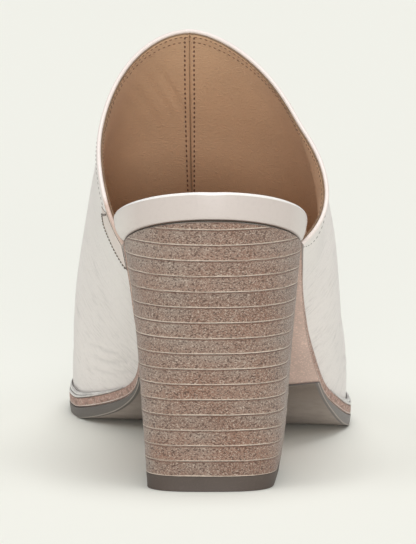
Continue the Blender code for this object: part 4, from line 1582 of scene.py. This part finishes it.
def make_patch():
    """The stitched patch over the inner wing's end, its raised edge darkened as painted shadow."""
    tone = colours()
    shares = np.linspace(0, 1, 25)
    outer, inner = [], []
    for up in shares:
        for forward in shares:
            point, normal = patch_point(forward, up)
            rim = min(forward, 1 - forward, up, 1 - up)
            lift = PATCH_THICK*min(1.0, 0.45 + rim*9)
            outer.append(point + normal*lift)
            inner.append(point - normal*0.0003)
    count = len(shares)
    faces = grid_faces(count, count) + grid_faces(count, count, first=count*count)
    border = ([(0, c) for c in range(count - 1)] + [(r, count - 1) for r in range(count - 1)]
              + [(count - 1, c) for c in range(count - 1, 0, -1)]
              + [(r, 0) for r in range(count - 1, 0, -1)])
    for (r0, c0), (r1, c1) in zip(border, border[1:] + border[:1]):
        a, b = r0*count + c0, r1*count + c1
        faces.append((a, b, b + count*count, a + count*count))
    kinds = [0]*(2*(count - 1)**2) + [1]*len(border)
    leather = leather_material("patch_leather", toward(tuple(tone.cream), (0.74, 0.60, 0.53), 0.7),
                               tuple(tone.cream), 0.5, 0.2, 0.4)
    # Painted shadow along the patch's edge
    dark = plain_edge_material("patch_edge_shade", (0.14, 0.115, 0.09), (0.22, 0.18, 0.15),
                               (0.4, 0.34, 0.3), 0.7, 0.4)
    add_piece("wing_patch", outer + inner, faces, [leather, dark],
              face_materials=kinds, sharp=50)
    path = []
    for forward in np.linspace(0.05, 0.93, 60):
        point, normal = patch_point(forward, 0.955)
        path.append(point + normal*PATCH_THICK)
    for up in np.linspace(0.955, 0.02, 90):
        point, normal = patch_point(0.93, up)
        path.append(point + normal*PATCH_THICK)
    thread = thread_material("patch_thread", (0.13, 0.105, 0.085))
    size = sizes()
    stitch_row("wing_patch_stitches", [path], thread, size.stitch_pitch*0.7,
               size.stitch_pitch*0.62, size.stitch_width*1.6)


def outer_row(side, lowest):
    """The outer stitch row on one side, from near the wing's end up to the ridge."""
    path = []
    for t in np.linspace(lowest, 0.998, 260):
        along = float(topline_along(t)) + float(flow(OUTER_ROW, "inset", t))
        path.append(section(along, side, t))
    return path


def make_stitching():
    """Two rows round the lining's edge, two beside its centre seam and one round the outside."""
    size, tone = sizes(), colours()
    grid, normal = upper_grid(size.rows, size.columns)
    inside = lining_face(grid, normal)
    brown = thread_material("brown_thread", tuple(tone.thread))
    soft_brown = thread_material("soft_brown_thread", toward(tone.thread, tone.lining, 0.08))
    pale = thread_material("pale_thread", tuple(tone.pale_thread))
    pitch, thread = size.stitch_pitch, size.stitch_width
    rows = [edge_path(inside, size.edge_row, 0.02, 0.98),
            edge_path(inside, size.second_row, 0.22, 0.78)]
    stitch_row("lining_edge_stitches", rows, soft_brown, pitch, pitch*0.62,
               thread*0.95)
    seams = [seam_path(inside, size.seam_rows, 0.175), seam_path(inside, -size.seam_rows, 0.175)]
    stitch_row("lining_seam_stitches", seams, brown, pitch*1.3, pitch*0.8,
               thread*1.3)
    stitch_row("outer_edge_stitches", [outer_row(1, 0.002), outer_row(-1, 0.17)], pale,
               pitch*1.1, pitch*0.7, thread*0.85)
    make_patch()


# Stage, light and camera


def make_stage():
    """A plain pale floor, soft studio light and the camera."""
    tone = colours()
    floor_mesh = bpy.data.meshes.new("studio_floor")
    wide = FLOOR_HALF_WIDTH
    floor_mesh.from_pydata([(-wide, -wide, 0), (wide, -wide, 0), (wide, wide, 0), (-wide, wide, 0)],
                           [], [(0, 1, 2, 3)])
    floor = bpy.data.objects.new("studio_floor", floor_mesh)
    bpy.context.scene.collection.objects.link(floor)
    material = bpy.data.materials.new("studio_floor")
    material.use_nodes = True
    shader = material.node_tree.nodes["Principled BSDF"]
    shader.inputs["Base Color"].default_value = (*tone.floor, 1)
    shader.inputs["Roughness"].default_value = 0.9
    shader.inputs["Specular IOR Level"].default_value = 0.1
    floor_mesh.materials.append(material)
    world = bpy.data.worlds.new("studio")
    world.use_nodes = True
    background = world.node_tree.nodes["Background"]
    background.inputs["Color"].default_value = (1.0, 0.995, 0.98, 1)
    background.inputs["Strength"].default_value = STUDIO_GLOW
    bpy.context.scene.world = world
    for lamp in LAMPS:
        add_sun(*lamp)
    bpy.context.scene.view_settings.view_transform = "Standard"
    make_camera()


def add_sun(name, toward_light, strength, softness):
    """One soft sun lamp that shines from a direction."""
    light = bpy.data.lights.new(name, "SUN")
    light.energy = strength
    light.angle = math.radians(softness)
    lamp = bpy.data.objects.new(name, light)
    lamp.rotation_euler = Vector(toward_light).to_track_quat("Z", "Y").to_euler()
    bpy.context.scene.collection.objects.link(lamp)


def make_camera():
    """The camera at the photo's angle, aimed at the shoe."""
    camera = bpy.data.cameras.new("camera")
    camera.sensor_width = CAMERA_SENSOR
    camera.lens = CAMERA_LENS
    camera.clip_end = 50
    view = bpy.data.objects.new("camera", camera)
    elevation = math.radians(CAMERA_ELEVATION)
    target = Vector(CAMERA_TARGET)
    away = Vector((0, -math.cos(elevation), math.sin(elevation)))
    view.location = target + away*CAMERA_DISTANCE
    view.rotation_euler = away.to_track_quat("Z", "Y").to_euler()
    bpy.context.scene.collection.objects.link(view)
    bpy.context.scene.camera = view


class MakeUpper(bpy.types.Operator):
    """Build the outer leather and the lining."""
    bl_idname = "mule.make_upper"
    bl_label = "Upper"

    def execute(self, context):
        make_upper()
        return {"FINISHED"}


class MakeStitching(bpy.types.Operator):
    """Build the stitch rows inside and outside."""
    bl_idname = "mule.make_stitching"
    bl_label = "Stitching"

    def execute(self, context):
        make_stitching()
        return {"FINISHED"}


class MakeFootbed(bpy.types.Operator):
    """Build the sock and the wrapped rand."""
    bl_idname = "mule.make_footbed"
    bl_label = "Footbed and rand"

    def execute(self, context):
        make_footbed()
        return {"FINISHED"}


class MakeSole(bpy.types.Operator):
    """Build the welt, the midsole and the rubber outsole."""
    bl_idname = "mule.make_sole"
    bl_label = "Sole"

    def execute(self, context):
        make_welt()
        make_midsole()
        make_outsole()
        return {"FINISHED"}


class MakeHeel(bpy.types.Operator):
    """Build the stacked heel and its top lift."""
    bl_idname = "mule.make_heel"
    bl_label = "Heel"

    def execute(self, context):
        make_heel()
        return {"FINISHED"}


class MakeStage(bpy.types.Operator):
    """Build the floor, the lights and the camera."""
    bl_idname = "mule.make_stage"
    bl_label = "Stage"

    def execute(self, context):
        make_stage()
        return {"FINISHED"}


class ShoePanel(bpy.types.Panel):
    """Sizes, colours and build steps of the shoe."""
    bl_idname = "VIEW3D_PT_mule_shoe"
    bl_label = "Mule shoe"
    bl_space_type = "VIEW_3D"
    bl_region_type = "UI"
    bl_category = "Shoe"

    def draw(self, context):
        settings = context.scene.mule_shoe
        for operator in OPERATORS:
            self.layout.operator(operator.bl_idname)
        for group in (settings.sizes, settings.colours):
            box = self.layout.box()
            for name in group.bl_rna.properties.keys():
                if name not in ("rna_type", "name"):
                    box.prop(group, name)


OPERATORS = [MakeUpper, MakeStitching, MakeFootbed, MakeSole, MakeHeel, MakeStage]
CLASSES = [ShoeSizes, ShoeColours, ShoeSettings, *OPERATORS, ShoePanel]


def register():
    for item in CLASSES:
        bpy.utils.register_class(item)
    bpy.types.Scene.mule_shoe = PointerProperty(type=ShoeSettings, name="Mule shoe")


def unregister():
    del bpy.types.Scene.mule_shoe
    for item in reversed(CLASSES):
        bpy.utils.unregister_class(item)


def main():
    register()
    bpy.ops.mule.make_upper()
    bpy.ops.mule.make_stitching()
    bpy.ops.mule.make_footbed()
    bpy.ops.mule.make_sole()
    bpy.ops.mule.make_heel()
    bpy.ops.mule.make_stage()


if __name__ == "__main__":
    main()
